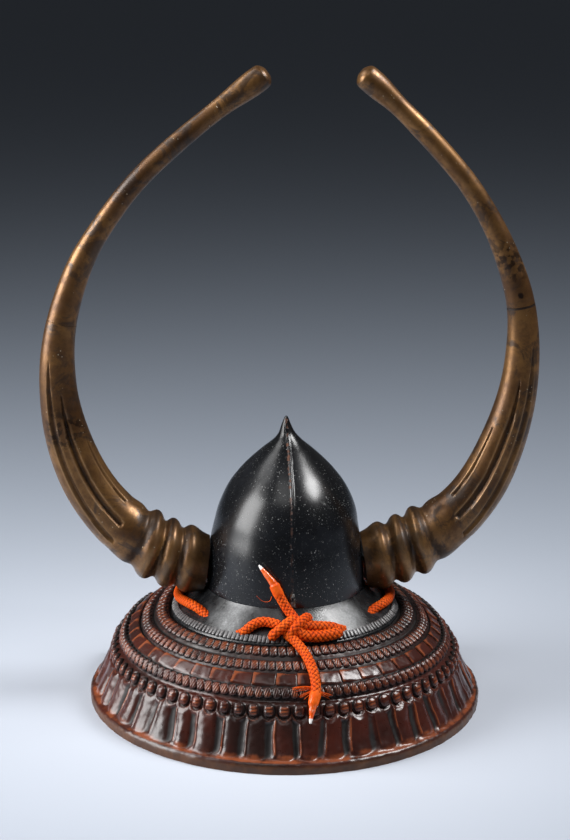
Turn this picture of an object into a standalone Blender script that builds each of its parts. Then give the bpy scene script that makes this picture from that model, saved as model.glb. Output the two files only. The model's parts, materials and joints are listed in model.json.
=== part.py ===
"""A samurai helmet with great horns, in metres: +Z up, +Y towards the wearer's face.

The rim of the neck guard stands on z = 0. The bowl's axis is the helmet's own axis. An azimuth is
measured round it from the middle of the back, in degrees, and grows towards +X.
"""

import math

import bpy
import bmesh
from mathutils import Vector

for old in list(bpy.data.objects):
    bpy.data.objects.remove(old, do_unlink=True)

# Clearances
GAP = 0.0003
LEDGE_GAP = 0.0008

# Bowl
BOWL_HALF_WIDTH = 0.0934
BOWL_BACK_REACH = 0.104
BOWL_FACE_REACH = 0.112
BOWL_FOOT = 0.124
BOWL_HEIGHT = 0.215
BOWL_WALL = 0.003
RIDGE_RISE = 0.0022
WALL_GROWTH = 0.12
BOWL_STEPS = 36

# Flange round the foot of the bowl
FLANGE_HALF_WIDTH = 0.1345
FLANGE_TOP = 0.1355
FLANGE_DROP = 0.031
FLANGE_WALL = 0.003
FLANGE_LIP = 0.0025
FLANGE_HAUNCH = 1.6
RIB_BAND = 0.0105
RIB_RISE = 0.0012
RIB_BAND_EASE = 0.12
PEAK_REACH = 0.018
PEAK_SPREAD = 53.0
BACK_LIFT = 0.0045
BACK_STRETCH = 1.015

# Neck guard
GUARD_HALF_WIDTH = 0.2315
GUARD_BACK_REACH = 0.243
GUARD_HEIGHT = 0.1108
GUARD_SPREAD = 125.0
GUARD_END_LIFT = 0.0085
GUARD_END_START = 84.0
GUARD_LEDGE = 0.004
LEDGE_SLOPE = 0.9
GUARD_WALL = 0.0055
PLATE_COUNT = 32
PLATE_HOLLOW = 0.42
FLUTE_DEPTH = 0.0026

# Horns
LEFT_HORN_REACH = 0.2632
RIGHT_HORN_REACH = 0.2751
HORN_FOOT = 0.160
HORN_RISE = 0.567
HORN_RADIUS = 0.034
HORN_ROOT_LENGTH = 0.107
RING_RISE = 0.0065
ROOT_LEAN = 0.5
HORN_FLATTEN = 0.86
ROOT_FLATTEN = 0.95
ROOT_EASE = 0.08
HORN_STATIONS = 13
TIP_STATIONS = 14
GROOVE_EASE = 0.06
GROOVE_DEPTH = 0.0026
TENON_RADIUS = 0.007
TENON_LENGTH = 0.014
PRONG_WIDTH = 0.018
PRONG_THICKNESS = 0.006
PRONG_LENGTH = 0.045
PRONG_SEAT = 0.0006

# Ring post on the ridge at the back
POST_HEIGHT = 0.016
POST_WIDTH = 0.0065
POST_DEPTH = 0.0042
POST_FOOT = 0.1425
POST_SEAT = 0.0005
POST_EYE = 0.0011
POST_EYE_PLACE = 0.70

# Cord
CORD_DIAMETER = 0.0115
CORD_ROOM = 0.0004
CORD_SPACING = 1.8
CORD_TURN = 9.0
CORD_SIDES = 12
KNOT_SIDES = 14
KNOT_TILT = 42.0
TAPE_LENGTH = 0.028
TAPE_TIP = 0.3

# Bowl sections from the foot up: shares of the height and of the half width
BOWL_SECTIONS = (
    # height, reach
    (0.000, 1.000),
    (0.060, 0.998),
    (0.180, 0.978),
    (0.300, 0.948),
    (0.400, 0.905),
    (0.495, 0.846),
    (0.600, 0.750),
    (0.685, 0.640),
    (0.750, 0.520),
    (0.812, 0.372),
    (0.862, 0.225),
    (0.905, 0.122),
    (0.950, 0.060),
    (1.000, 0.016),
)

# Rows of the neck guard outside, from the top row down: shares of the half width and of the height,
# the share of the flutes' depth, and the share of the back's lift
GUARD_ROWS = (
    # reach, height, flute, lift
    (0.592, 0.912, 0.00, 1.0),
    (0.606, 0.938, 0.00, 1.0),
    (0.632, 0.912, 0.00, 1.0),
    (0.658, 0.878, 0.00, 1.0),
    (0.671, 0.846, 0.00, 1.0),
    (0.686, 0.860, 0.00, 1.0),
    (0.710, 0.826, 0.00, 1.0),
    (0.731, 0.792, 0.00, 1.0),
    (0.742, 0.762, 0.00, 1.0),
    (0.753, 0.782, 0.35, 1.0),
    (0.796, 0.714, 0.35, 1.0),
    (0.803, 0.684, 0.00, 1.0),
    (0.818, 0.678, 0.00, 1.0),
    (0.834, 0.636, 0.00, 1.0),
    (0.840, 0.582, 0.00, 1.0),
    (0.846, 0.564, 0.00, 1.0),
    (0.864, 0.552, 0.00, 1.0),
    (0.876, 0.508, 0.00, 1.0),
    (0.880, 0.456, 0.20, 1.0),
    (0.898, 0.420, 1.00, 0.9),
    (0.932, 0.255, 1.00, 0.8),
    (0.968, 0.118, 0.80, 0.4),
    (0.990, 0.098, 0.00, 0.2),
    (1.000, 0.070, 0.00, 0.0),
    (1.000, 0.000, 0.00, 0.0),
)

# The plain inside of the neck guard, from the rim up: the same shares
GUARD_INSIDE = (
    # reach, height, lift
    (0.955, 0.000, 0.0),
    (0.925, 0.120, 0.3),
    (0.852, 0.400, 1.0),
    (0.805, 0.560, 1.0),
    (0.745, 0.690, 1.0),
    (0.660, 0.795, 1.0),
    (0.600, 0.848, 1.0),
)

# Horn centrelines from the foot to the tip: shares of each horn's reach and of the rise, and the
# share of the radius at the foot
LEFT_HORN = (
    # reach, rise, radius
    (0.355, 0.001, 1.00),
    (0.482, 0.017, 1.00),
    (0.607, 0.043, 1.00),
    (0.720, 0.083, 1.00),
    (0.811, 0.130, 0.91),
    (0.881, 0.181, 0.86),
    (0.933, 0.236, 0.81),
    (0.973, 0.298, 0.74),
    (0.996, 0.363, 0.65),
    (1.000, 0.424, 0.60),
    (0.990, 0.487, 0.535),
    (0.955, 0.554, 0.485),
    (0.889, 0.638, 0.425),
    (0.832, 0.684, 0.380),
    (0.761, 0.730, 0.360),
    (0.686, 0.779, 0.345),
    (0.565, 0.836, 0.342),
    (0.440, 0.886, 0.342),
    (0.294, 0.941, 0.332),
    (0.150, 0.989, 0.352),
    (0.110, 1.003, 0.345),
)
RIGHT_HORN = (
    # reach, rise, radius
    (0.336, 0.001, 1.00),
    (0.457, 0.017, 1.00),
    (0.575, 0.041, 1.00),
    (0.682, 0.074, 1.00),
    (0.737, 0.096, 0.95),
    (0.810, 0.137, 0.89),
    (0.873, 0.189, 0.85),
    (0.925, 0.253, 0.79),
    (0.967, 0.316, 0.72),
    (0.992, 0.383, 0.64),
    (1.000, 0.450, 0.58),
    (0.995, 0.516, 0.51),
    (0.976, 0.567, 0.475),
    (0.950, 0.602, 0.455),
    (0.896, 0.669, 0.403),
    (0.827, 0.732, 0.368),
    (0.743, 0.794, 0.350),
    (0.654, 0.843, 0.347),
    (0.547, 0.899, 0.347),
    (0.441, 0.948, 0.338),
    (0.352, 0.989, 0.352),
    (0.312, 1.003, 0.345),
)
HORN_JOINT = {"left": 0.503, "right": 0.547}

# Rings at the horn's foot: share of the root's length, share of the ring's rise
RINGS = (
    # along, rise
    (0.000, 0.00),
    (0.110, 0.45),
    (0.200, 1.00),
    (0.262, 0.78),
    (0.315, 0.00),
    (0.372, 0.80),
    (0.435, 1.00),
    (0.492, 0.78),
    (0.540, 0.00),
    (0.600, 0.80),
    (0.660, 1.00),
    (0.722, 0.72),
    (0.775, -0.08),
    (0.870, 0.24),
    (1.000, 0.15),
)
HORN_SIDES = 16
TIP_SIDES = 12

# The knob at a horn's tip, past the end of its centreline: lengths as shares of the horn's radius at
# its foot, and the share of the tip's own radius
KNOB = (
    # beyond, radius
    (0.09, 0.85),
    (0.20, 0.45),
)

# The ring post from its foot up: shares of its height, depth and half width
POST_SECTIONS = (
    # height, depth, wide
    (0.00, 0.60, 1.00),
    (0.12, 1.00, 1.00),
    (0.75, 1.00, 1.00),
    (0.93, 0.80, 0.70),
    (1.00, 0.45, 0.40),
)

# Grooves down each flank of the horn: place round the section in degrees from its outer edge, and
# the shares of the lower piece's length between which it runs
GROOVES = (
    # turn, start, end
    (60.0, 0.33, 0.86),
    (100.0, 0.36, 0.76),
    (160.0, 0.43, 0.60),
)

# The cord's routes, chosen by hand: azimuth in degrees, reach and height of its middle. The loop runs
# from the knot's left side, under the flange and up again, round the face and back to the knot.
LOOP_ROUTE = (
    # azimuth, reach, height
    (-7.5, 0.1253, 0.1286),
    (-13.5, 0.1228, 0.1305),
    (-18.2, 0.1234, 0.1296),
    (-22.3, 0.1252, 0.1245),
    (-26.3, 0.1264, 0.1161),
    (-30.5, 0.1239, 0.1114),
    (-35.5, 0.1203, 0.1099),
    (-42.0, 0.1169, 0.1114),
    (-48.5, 0.1143, 0.1134),
    (-54.5, 0.1139, 0.1168),
    (-59.8, 0.1154, 0.1212),
    (-65.0, 0.1183, 0.1245),
    (-71.0, 0.1208, 0.1249),
    (-80.0, 0.1226, 0.1226),
    (-90.0, 0.1256, 0.1195),
    (-103.0, 0.1280, 0.1174),
    (-122.0, 0.1298, 0.1176),
    (-142.0, 0.1318, 0.1209),
    (-161.0, 0.1331, 0.1258),
    (-180.0, 0.1336, 0.1286),
    (-199.0, 0.1331, 0.1258),
    (-218.0, 0.1318, 0.1209),
    (-238.0, 0.1298, 0.1176),
    (-257.0, 0.1280, 0.1174),
    (-270.0, 0.1255, 0.1196),
    (-280.0, 0.1238, 0.1217),
    (-289.5, 0.1223, 0.1238),
    (-296.2, 0.1198, 0.1237),
    (-301.7, 0.1156, 0.1212),
    (-307.2, 0.1135, 0.1174),
    (-313.0, 0.1137, 0.1141),
    (-319.0, 0.1159, 0.1124),
    (-325.5, 0.1187, 0.1114),
    (-330.5, 0.1215, 0.1136),
    (-335.0, 0.1246, 0.1179),
    (-338.5, 0.1278, 0.1213),
)
UPPER_TAIL_ROUTE = (
    # azimuth, reach, height
    (1.4, 0.1225, 0.1320),
    (-0.2, 0.1187, 0.1365),
    (-3.2, 0.1136, 0.1432),
    (-6.7, 0.1098, 0.1535),
    (-9.6, 0.1079, 0.1634),
    (-12.0, 0.1065, 0.1718),
    (-16.4, 0.1052, 0.1811),
    (-21.3, 0.1030, 0.1903),
)
LOWER_TAIL_ROUTE = (
    # azimuth, reach, height
    (-5.1, 0.1285, 0.1255),
    (-2.9, 0.1350, 0.1209),
    (0.5, 0.1438, 0.1152),
    (3.2, 0.1563, 0.1092),
    (4.7, 0.1705, 0.1025),
    (5.4, 0.1837, 0.0956),
    (5.6, 0.1942, 0.0878),
    (5.2, 0.2034, 0.0795),
    (4.0, 0.2117, 0.0680),
    (2.8, 0.2214, 0.0506),
)

# The knot and its flat bow from left to right: its middle, then its half width and half thickness
KNOT_SECTIONS = (
    # azimuth, reach, height, wide, thick
    (-10.6, 0.1242, 0.1292, 0.0030, 0.0028),
    (-9.6, 0.1247, 0.1291, 0.0056, 0.0050),
    (-6.5, 0.1268, 0.1297, 0.0092, 0.0076),
    (-3.0, 0.1286, 0.1303, 0.0118, 0.0086),
    (0.5, 0.1292, 0.1299, 0.0125, 0.0088),
    (4.0, 0.1302, 0.1285, 0.0115, 0.0080),
    (8.0, 0.1317, 0.1248, 0.0105, 0.0064),
    (13.0, 0.1340, 0.1213, 0.0112, 0.0058),
    (18.5, 0.1351, 0.1197, 0.0114, 0.0057),
    (21.9, 0.1347, 0.1195, 0.0100, 0.0054),
    (23.8, 0.1341, 0.1193, 0.0072, 0.0046),
    (24.8, 0.1338, 0.1191, 0.0036, 0.0030),
)

# The flange's four cord holes: the stretch of the loop's route that each follows, and how far its
# cutter goes on past that stretch
CORD_HOLES = (
    # name, first, last, beyond
    ("left_inner", -17.0, -38.0, 0.0),
    ("left_outer", -46.0, -72.0, 0.0),
    ("right_outer", -288.0, -315.0, 0.0),
    ("right_inner", -322.0, -338.5, 0.008),
)


def finish(name, colour, roughness, metallic=0.0):
    """The material of one sub-part."""
    made = bpy.data.materials.new(name)
    made.use_nodes = True
    shader = made.node_tree.nodes["Principled BSDF"]
    shader.inputs["Base Color"].default_value = (*colour, 1.0)
    shader.inputs["Roughness"].default_value = roughness
    shader.inputs["Metallic"].default_value = metallic
    return made


BLACK_LACQUER = finish("black_lacquer", (0.02, 0.022, 0.026), 0.25)
WORN_BLACK = finish("worn_black_lacquer", (0.06, 0.06, 0.065), 0.4)
RED_LACQUER = finish("red_brown_lacquer", (0.11, 0.03, 0.018), 0.35)
OLD_GILT = finish("aged_gilt", (0.33, 0.2, 0.08), 0.42, 0.6)
IRON = finish("dark_iron", (0.08, 0.075, 0.07), 0.5, 0.8)
ORANGE_SILK = finish("orange_silk", (0.85, 0.16, 0.02), 0.7)


def centre_shift():
    """The offset that puts the middle of the whole outline on the origin."""
    left = LEFT_HORN_REACH + HORN_RADIUS * max(LEFT_HORN)[2]
    right = RIGHT_HORN_REACH + HORN_RADIUS * max(RIGHT_HORN)[2]
    return Vector(((left - right) / 2, (GUARD_BACK_REACH - peak_front()) / 2, 0.0))


def flange_face():
    """How far the flange reaches over the face, without its peak."""
    return BOWL_FACE_REACH + FLANGE_HALF_WIDTH - BOWL_HALF_WIDTH


def peak_front():
    """How far the peak reaches in front of the helmet's axis."""
    return flange_face() + PEAK_REACH


def skin(name, loops, material, wrap=False):
    """A solid through closed loops of points: its two ends are capped, or joined where wrap is set."""
    shape = bmesh.new()
    rows = [[shape.verts.new(point) for point in loop] for loop in loops]
    count = len(rows[0])
    pairs = list(zip(rows, rows[1:]))
    if wrap:
        pairs.append((rows[-1], rows[0]))
    for first, second in pairs:
        for i in range(count):
            j = (i + 1) % count
            shape.faces.new((first[i], first[j], second[j], second[i]))
    if not wrap:
        shape.faces.new(rows[0][::-1])
        shape.faces.new(rows[-1])
    bmesh.ops.recalc_face_normals(shape, faces=shape.faces)
    mesh = bpy.data.meshes.new(name)
    shape.to_mesh(mesh)
    shape.free()
    mesh.materials.append(material)
    made = bpy.data.objects.new(name, mesh)
    bpy.context.scene.collection.objects.link(made)
    made.location = centre_shift()
    return made


def shade(made, angle=40.0):
    """Smooth shading with the sharp edges kept."""
    made.data.shade_smooth()
    made.data.set_sharp_from_angle(angle=math.radians(angle))
    return made


def cut(made, cutter, operation="DIFFERENCE"):
    """Takes the cutter out of a solid, with the cutter kept as a hidden guide."""
    cutter.hide_render = True
    cutter.display_type = "WIRE"
    boolean = made.modifiers.new(cutter.name, "BOOLEAN")
    boolean.operation = operation
    boolean.object = cutter
    boolean.solver = "EXACT"


def between(rows, place, column):
    """One column of a table, read straight between its rows at a place in its first column."""
    for low, high in zip(rows, rows[1:]):
        if place <= high[0]:
            share = (place - low[0]) / (high[0] - low[0])
            return low[column] + (high[column] - low[column]) * share
    return rows[-1][column]


def around(azimuth, side, back, face):
    """The point of a plan oval: half an ellipse behind the axis and half an ellipse before it."""
    turn = math.radians(azimuth)
    forward = -math.cos(turn)
    return Vector((side * math.sin(turn), forward * (face if forward > 0 else back), 0.0))


def bowl_point(azimuth, height, inset=0.0):
    """A point of the bowl's outside at an azimuth and a height, moved in by the inset."""
    share = between(BOWL_SECTIONS, (height - BOWL_FOOT) / BOWL_HEIGHT, 1)
    point = around(azimuth, BOWL_HALF_WIDTH * share, BOWL_BACK_REACH * share, BOWL_FACE_REACH * share)
    on_ridge = min(abs(azimuth) % 180, 180 - abs(azimuth) % 180) < 180 / BOWL_STEPS
    ridge = RIDGE_RISE * min(1.0, share * 2) if on_ridge else 0.0
    reach = point.length
    point = point * ((reach + ridge - inset) / reach)
    point.z = height
    return point


def bowl_azimuths():
    return [360 * i / BOWL_STEPS for i in range(BOWL_STEPS)]


def bowl_loops(inset, heights):
    return [[bowl_point(a, height, inset) for a in bowl_azimuths()] for height in heights]


def bowl():
    """The pointed bowl: a lacquered shell, solid only in its tip."""
    outside = [BOWL_FOOT + BOWL_HEIGHT * row[0] for row in BOWL_SECTIONS]
    inside = [BOWL_FOOT + BOWL_HEIGHT * row[0] for row in BOWL_SECTIONS[3:9]]
    loops = bowl_loops(0.0, outside[::-1])
    loops += bowl_loops(BOWL_WALL, [BOWL_FOOT])
    slope_wall = BOWL_WALL
    for height in inside:
        slope_wall += BOWL_WALL * WALL_GROWTH
        loops += bowl_loops(slope_wall, [height - BOWL_WALL / 2])
    return shade(skin("bowl", loops, BLACK_LACQUER))


def peak(azimuth):
    """How much further the flange reaches over the face than elsewhere."""
    off = abs(abs(azimuth) - 180)
    if off >= PEAK_SPREAD:
        return 0.0
    return PEAK_REACH * math.cos(math.radians(90 * off / PEAK_SPREAD)) ** 2


def flange_edge(azimuth):
    """A point of the flange's outer edge, on top."""
    point = around(azimuth, FLANGE_HALF_WIDTH, FLANGE_HALF_WIDTH * BACK_STRETCH, flange_face())
    point = point * ((point.length + peak(azimuth)) / point.length)
    point.z = FLANGE_TOP - FLANGE_DROP + lift(azimuth)
    return point


def lift(azimuth):
    """The helmet's lower plates stand a little higher at the back than at the face."""
    return BACK_LIFT * math.cos(math.radians(azimuth))


def flange_section(azimuth):
    """The flange's section: the slope outside, and the collar and lip that hold the bowl."""
    top = FLANGE_TOP + lift(azimuth)
    inner = bowl_point(azimuth, BOWL_FOOT)
    inner.z = 0.0

    def beside(extra, height):
        point = inner * ((inner.length + extra) / inner.length)
        point.z = height
        return point

    edge = flange_edge(azimuth)
    under = edge - Vector((0.0, 0.0, FLANGE_WALL))
    inside = edge.lerp(beside(GAP, top), RIB_BAND / (FLANGE_HALF_WIDTH - BOWL_HALF_WIDTH))
    rise = Vector((0.0, 0.0, RIB_RISE))
    lip = BOWL_FOOT - GAP
    return (
        beside(GAP, top),
        inside,
        inside.lerp(edge, RIB_BAND_EASE) + rise,
        inside.lerp(edge, 1 - RIB_BAND_EASE) + rise,
        edge,
        under,
        beside(GAP + FLANGE_WALL, top - FLANGE_WALL * FLANGE_HAUNCH),
        beside(GAP + FLANGE_WALL, lip - FLANGE_LIP),
        beside(-BOWL_WALL, lip - FLANGE_LIP),
        beside(-BOWL_WALL, lip),
        beside(GAP, lip),
    )


def base_flange():
    """The flange round the foot of the bowl, with the four holes that the cord is drawn through."""
    loops = [flange_section(a) for a in bowl_azimuths()]
    made = skin("base_flange", loops, WORN_BLACK, wrap=True)
    line = cord_line(LOOP_ROUTE)
    for name, first, last, beyond in CORD_HOLES:
        stretch = [point for azimuth, point in line if last <= azimuth <= first]
        cut(made, tube("cord_hole_" + name, stretch, CORD_ROOM, beyond))
    return shade(made)


def guard_lift(azimuth):
    """The guard's rows follow the flange at the back, and rise again towards their two ends."""
    share = (abs(azimuth) - GUARD_END_START) / (GUARD_SPREAD - GUARD_END_START)
    share = min(1.0, max(0.0, share))
    return lift(azimuth) + GUARD_END_LIFT * share ** 2 * (3 - 2 * share)


def guard_point(azimuth, reach, height, lift_share, out=0.0):
    """A point of the neck guard from its shares of the half width and the height."""
    side = GUARD_HALF_WIDTH * reach
    share = min(1.0, height)
    back = 1 + (GUARD_BACK_REACH / GUARD_HALF_WIDTH - 1) * (1 - share) + (BACK_STRETCH - 1) * share
    face = 1 + (flange_face() / FLANGE_HALF_WIDTH - 1) * share
    point = around(azimuth, side, side * back, side * face)
    point = point * ((point.length + out) / point.length)
    point.z = GUARD_HEIGHT * height + guard_lift(azimuth) * lift_share
    return point


def plate_azimuths():
    """The azimuths of the guard's sections: the raised edge of each tall plate, then its hollow."""
    pitch = 2 * GUARD_SPREAD / PLATE_COUNT
    found = []
    for plate in range(PLATE_COUNT):
        start = plate * pitch - GUARD_SPREAD
        found += [(start, 0.5), (start + pitch * PLATE_HOLLOW, -0.5)]
    return found + [(GUARD_SPREAD, 0.5)]


def guard_section(azimuth, flute):
    """The guard's section at an azimuth, with its flutes out or in by a share of their depth."""
    ledge = flange_edge(azimuth)
    ledge.z -= FLANGE_WALL + LEDGE_GAP
    slope = FLANGE_DROP / (FLANGE_HALF_WIDTH - BOWL_HALF_WIDTH)
    out = Vector((ledge.x, ledge.y, 0.0)).normalized()
    up = Vector((0.0, 0.0, GUARD_LEDGE * slope * LEDGE_SLOPE))
    section = [ledge - out * GUARD_LEDGE + up, ledge + out * LEDGE_GAP]
    for reach, height, fluted, lift_share in GUARD_ROWS:
        section.append(guard_point(azimuth, reach, height, lift_share, FLUTE_DEPTH * fluted * flute))
    for reach, height, lift_share in GUARD_INSIDE:
        section.append(guard_point(azimuth, reach, height, lift_share))
    section.append(ledge - out * GUARD_LEDGE - Vector((0.0, 0.0, GUARD_WALL / 2)))
    return section


def neck_guard():
    loops = [guard_section(azimuth, flute) for azimuth, flute in plate_azimuths()]
    return shade(skin("neck_guard", loops, RED_LACQUER), 30.0)


def smooth_path(rows, parts=12):
    """Points of a smooth curve through the rows, with every column carried along."""
    ends = [tuple(2 * a - b for a, b in zip(rows[0], rows[1]))]
    last = [tuple(2 * a - b for a, b in zip(rows[-1], rows[-2]))]
    rows = ends + list(rows) + last
    found = []
    for before, first, second, after in zip(rows, rows[1:], rows[2:], rows[3:]):
        for part in range(parts):
            t = part / parts
            found.append(tuple(
                0.5 * (2 * q + (r - p) * t + (2 * p - 5 * q + 4 * r - s) * t ** 2
                       + (3 * q - 3 * r + s - p) * t ** 3)
                for p, q, r, s in zip(before, first, second, after)
            ))
    found.append(rows[-2])
    return found


def with_lengths(points):
    """The points with the length run so far as their first column."""
    run, found = 0.0, [(0.0, *points[0])]
    for first, second in zip(points, points[1:]):
        run += math.dist(first[:2], second[:2])
        found.append((run, *second))
    return found


def horn_path(side):
    """The horn's centreline in its own upright plane: length run, reach, height, radius."""
    rows, reach = (LEFT_HORN, LEFT_HORN_REACH) if side == "left" else (RIGHT_HORN, RIGHT_HORN_REACH)
    return with_lengths([
        (reach * row[0], HORN_FOOT + HORN_RISE * row[1], HORN_RADIUS * row[2])
        for row in smooth_path(rows)
    ])


def horn_ring(path, run, side, radius=None, sides=HORN_SIDES, flatten=HORN_FLATTEN, grooves=(), lean=1.0):
    """One section of a horn, square to its centreline, or more upright where it leans less than that."""
    step = 0.002
    ahead = [between(path, min(run + step, path[-1][0]), c) for c in (1, 2)]
    behind = [between(path, max(run - step, 0.0), c) for c in (1, 2)]
    along = Vector((ahead[0] - behind[0], 0.0, (ahead[1] - behind[1]) * lean)).normalized()
    outward = Vector((along.z, 0.0, -along.x))
    centre = Vector((between(path, run, 1), 0.0, between(path, run, 2)))
    radius = between(path, run, 3) if radius is None else radius
    loop = []
    for i in range(sides):
        turn = 2 * math.pi * i / sides
        size = radius
        for groove, depth in grooves:
            off = abs((math.degrees(turn) + 180) % 360 - 180)
            if abs(off - groove) < 180 / sides:
                size -= depth
        point = centre + outward * (size * math.cos(turn))
        point.y = -size * flatten * math.sin(turn)
        loop.append(point)
    if side == "left":
        loop = [Vector((-p.x, p.y, p.z)) for p in loop]
    return loop


def groove_depths(share):
    """The grooves that are open at a share of the lower piece's length, with their depths there."""
    found = []
    for turn, start, end in GROOVES:
        if start < share < end:
            fade = min(1.0, (share - start) / GROOVE_EASE, (end - share) / GROOVE_EASE)
            found.append((turn, GROOVE_DEPTH * fade))
    return found


def horn_base(side):
    """The lower piece of a horn: three rings at its root, long grooves, and a socket at its top."""
    path = horn_path(side)
    joint = path[-1][0] * HORN_JOINT[side]
    loops = []
    for along, rise in RINGS:
        run = HORN_ROOT_LENGTH * along
        radius = between(path, run, 3) + RING_RISE * rise
        loops.append(horn_ring(path, run, side, radius, flatten=ROOT_FLATTEN, lean=ROOT_LEAN))
    for i in range(1, HORN_STATIONS + 1):
        run = HORN_ROOT_LENGTH + (joint - HORN_ROOT_LENGTH) * i / HORN_STATIONS
        ease = max(0.0, 1.0 - (run - HORN_ROOT_LENGTH) / ROOT_EASE)
        flatten = HORN_FLATTEN + (ROOT_FLATTEN - HORN_FLATTEN) * ease
        depths = groove_depths(run / joint)
        lean = 1.0 - (1.0 - ROOT_LEAN) * ease
        loops.append(horn_ring(path, run, side, flatten=flatten, grooves=depths, lean=lean))
    hole = TENON_RADIUS + GAP
    loops.append(horn_ring(path, joint, side, hole, flatten=1.0))
    loops.append(horn_ring(path, joint - TENON_LENGTH - GAP, side, hole, flatten=1.0))
    made = skin("horn_base_" + side, loops, OLD_GILT)
    cut(made, seat_clearance(side))
    cut(made, prong_bar("prong_socket_" + side, side, GAP))
    return shade(made)


def horn_tip(side):
    """The upper piece of a horn, which ends in a small knob and plugs into the lower one."""
    path = horn_path(side)
    whole = path[-1][0]
    joint = whole * HORN_JOINT[side] + GAP
    loops = [
        horn_ring(path, joint - TENON_LENGTH, side, TENON_RADIUS, TIP_SIDES, 1.0),
        horn_ring(path, joint, side, TENON_RADIUS, TIP_SIDES, 1.0),
    ]
    for i in range(TIP_STATIONS + 1):
        ease = i / TIP_STATIONS
        run = joint + (whole - joint) * ease
        loops.append(horn_ring(path, run, side, None, TIP_SIDES, HORN_FLATTEN + (1 - HORN_FLATTEN) * ease))
    for beyond, share in KNOB:
        loops.append(dome_ring(path, side, HORN_RADIUS * beyond, share))
    return shade(skin("horn_tip_" + side, loops, OLD_GILT))


def dome_ring(path, side, beyond, share):
    """A ring past the end of the centreline, which rounds the knob off."""
    loop = horn_ring(path, path[-1][0], side, path[-1][3] * share, TIP_SIDES, 1.0)
    last, before = path[-1], path[-8]
    along = Vector((last[1] - before[1], 0.0, last[2] - before[2])).normalized()
    if side == "left":
        along.x = -along.x
    return [point + along * beyond for point in loop]


def seat_clearance(side):
    """The outside of the bowl and flange with its gap, as a guide that trims a horn's foot to its seat."""
    above = Vector((0.0, 0.0, GAP * 1.5))
    edges = [flange_edge(a) + above for a in bowl_azimuths()]
    below = [Vector((p.x, p.y, BOWL_FOOT - 0.04)) for p in edges]
    tops = [FLANGE_TOP + lift(a) for a in bowl_azimuths()]
    join = [bowl_point(a, top, -GAP) + above for a, top in zip(bowl_azimuths(), tops)]
    heights = [BOWL_FOOT + BOWL_HEIGHT * row[0] for row in BOWL_SECTIONS[2:]]
    loops = [below, edges, join] + bowl_loops(-GAP, heights)
    return skin("seat_clearance_" + side, loops, IRON)


def prong_bar(name, side, clearance=0.0):
    """The flat prong that carries a horn, or with a clearance the socket that it goes into."""
    path = horn_path(side)
    seat = bowl_point(90.0, HORN_FOOT, -PRONG_SEAT)
    start = Vector((seat.x, 0.0, HORN_FOOT))
    far = Vector((between(path, PRONG_LENGTH, 1), 0.0, between(path, PRONG_LENGTH, 2)))
    along = (far - start).normalized()
    up = Vector((-along.z, 0.0, along.x))
    across = Vector((0.0, 1.0, 0.0))
    wide = PRONG_WIDTH / 2 + clearance
    thick = PRONG_THICKNESS / 2 + clearance
    first = start - along * (clearance and PRONG_WIDTH)
    second = far + along * clearance
    loops = []
    for centre in (first, second):
        loops.append([
            centre + across * (wide * a) + up * (thick * b)
            for a, b in ((-1, -1), (1, -1), (1, 1), (-1, 1))
        ])
    if side == "left":
        loops = [[Vector((-p.x, p.y, p.z)) for p in loop] for loop in loops]
    return skin(name, loops, IRON)


def ring_post():
    """The stub of the ring holder on the ridge at the back, with the eye of its lost ring."""
    foot = bowl_point(0.0, POST_FOOT)
    top = bowl_point(0.0, POST_FOOT + POST_HEIGHT)
    loops = []
    for share, depth, width in POST_SECTIONS:
        back = foot.lerp(top, share) - Vector((0.0, POST_SEAT, 0.0))
        wide = POST_WIDTH / 2 * width
        deep = POST_DEPTH * depth
        loops.append([
            back + Vector((wide * x, -deep * y, 0.0))
            for x, y in ((-1, 0), (1, 0), (1, 0.55), (0.55, 1), (-0.55, 1), (-1, 0.55))
        ])
    made = skin("ring_post", loops, IRON)
    middle = foot.lerp(top, POST_EYE_PLACE)
    eye = []
    for depth in (POST_DEPTH / 2, POST_DEPTH * 2):
        eye.append([
            middle + Vector((POST_EYE * math.cos(turn), -depth, POST_EYE * math.sin(turn)))
            for turn in (2 * math.pi * k / TIP_SIDES for k in range(TIP_SIDES))
        ])
    cut(made, skin("post_eye", eye, IRON))
    return shade(made)


def cord_line(route):
    """A smooth line through a cord's route, closer together where it bends: azimuths and points."""
    fine = []
    for azimuth, reach, height in smooth_path(route, 8):
        turn = math.radians(azimuth)
        fine.append((azimuth, Vector((reach * math.sin(turn), -reach * math.cos(turn), height))))
    kept = fine[:1]
    heading = fine[1][1] - fine[0][1]
    for here, ahead in zip(fine[1:], fine[2:]):
        run = (here[1] - kept[-1][1]).length
        course = ahead[1] - here[1]
        bent = heading.angle(course) > math.radians(CORD_TURN) and run > CORD_DIAMETER / 2
        if bent or run > CORD_DIAMETER * CORD_SPACING:
            kept.append(here)
            heading = course
    if (fine[-1][1] - kept[-1][1]).length < CORD_DIAMETER / 2:
        kept.pop()
    return kept + fine[-1:]


def tube(name, points, clearance, beyond=0.0):
    """A cutter along a cord's points that leaves the clearance all round the cord and past its ends."""
    first = points[0] + (points[0] - points[1]).normalized() * clearance
    last = points[-1] + (points[-1] - points[-2]).normalized() * (clearance + beyond)
    points = [first] + points[1:-1] + [last]
    radius = (CORD_DIAMETER / 2 + clearance) / math.cos(math.pi / CORD_SIDES)
    loops = []
    for i, point in enumerate(points):
        along = (points[min(i + 1, len(points) - 1)] - points[max(i - 1, 0)]).normalized()
        side = along.cross(Vector((0.0, 0.0, 1.0))).normalized()
        up = side.cross(along)
        loops.append([
            point + (side * math.cos(turn) + up * math.sin(turn)) * radius
            for turn in (2 * math.pi * k / CORD_SIDES for k in range(CORD_SIDES))
        ])
    return skin(name, loops, IRON)


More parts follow.
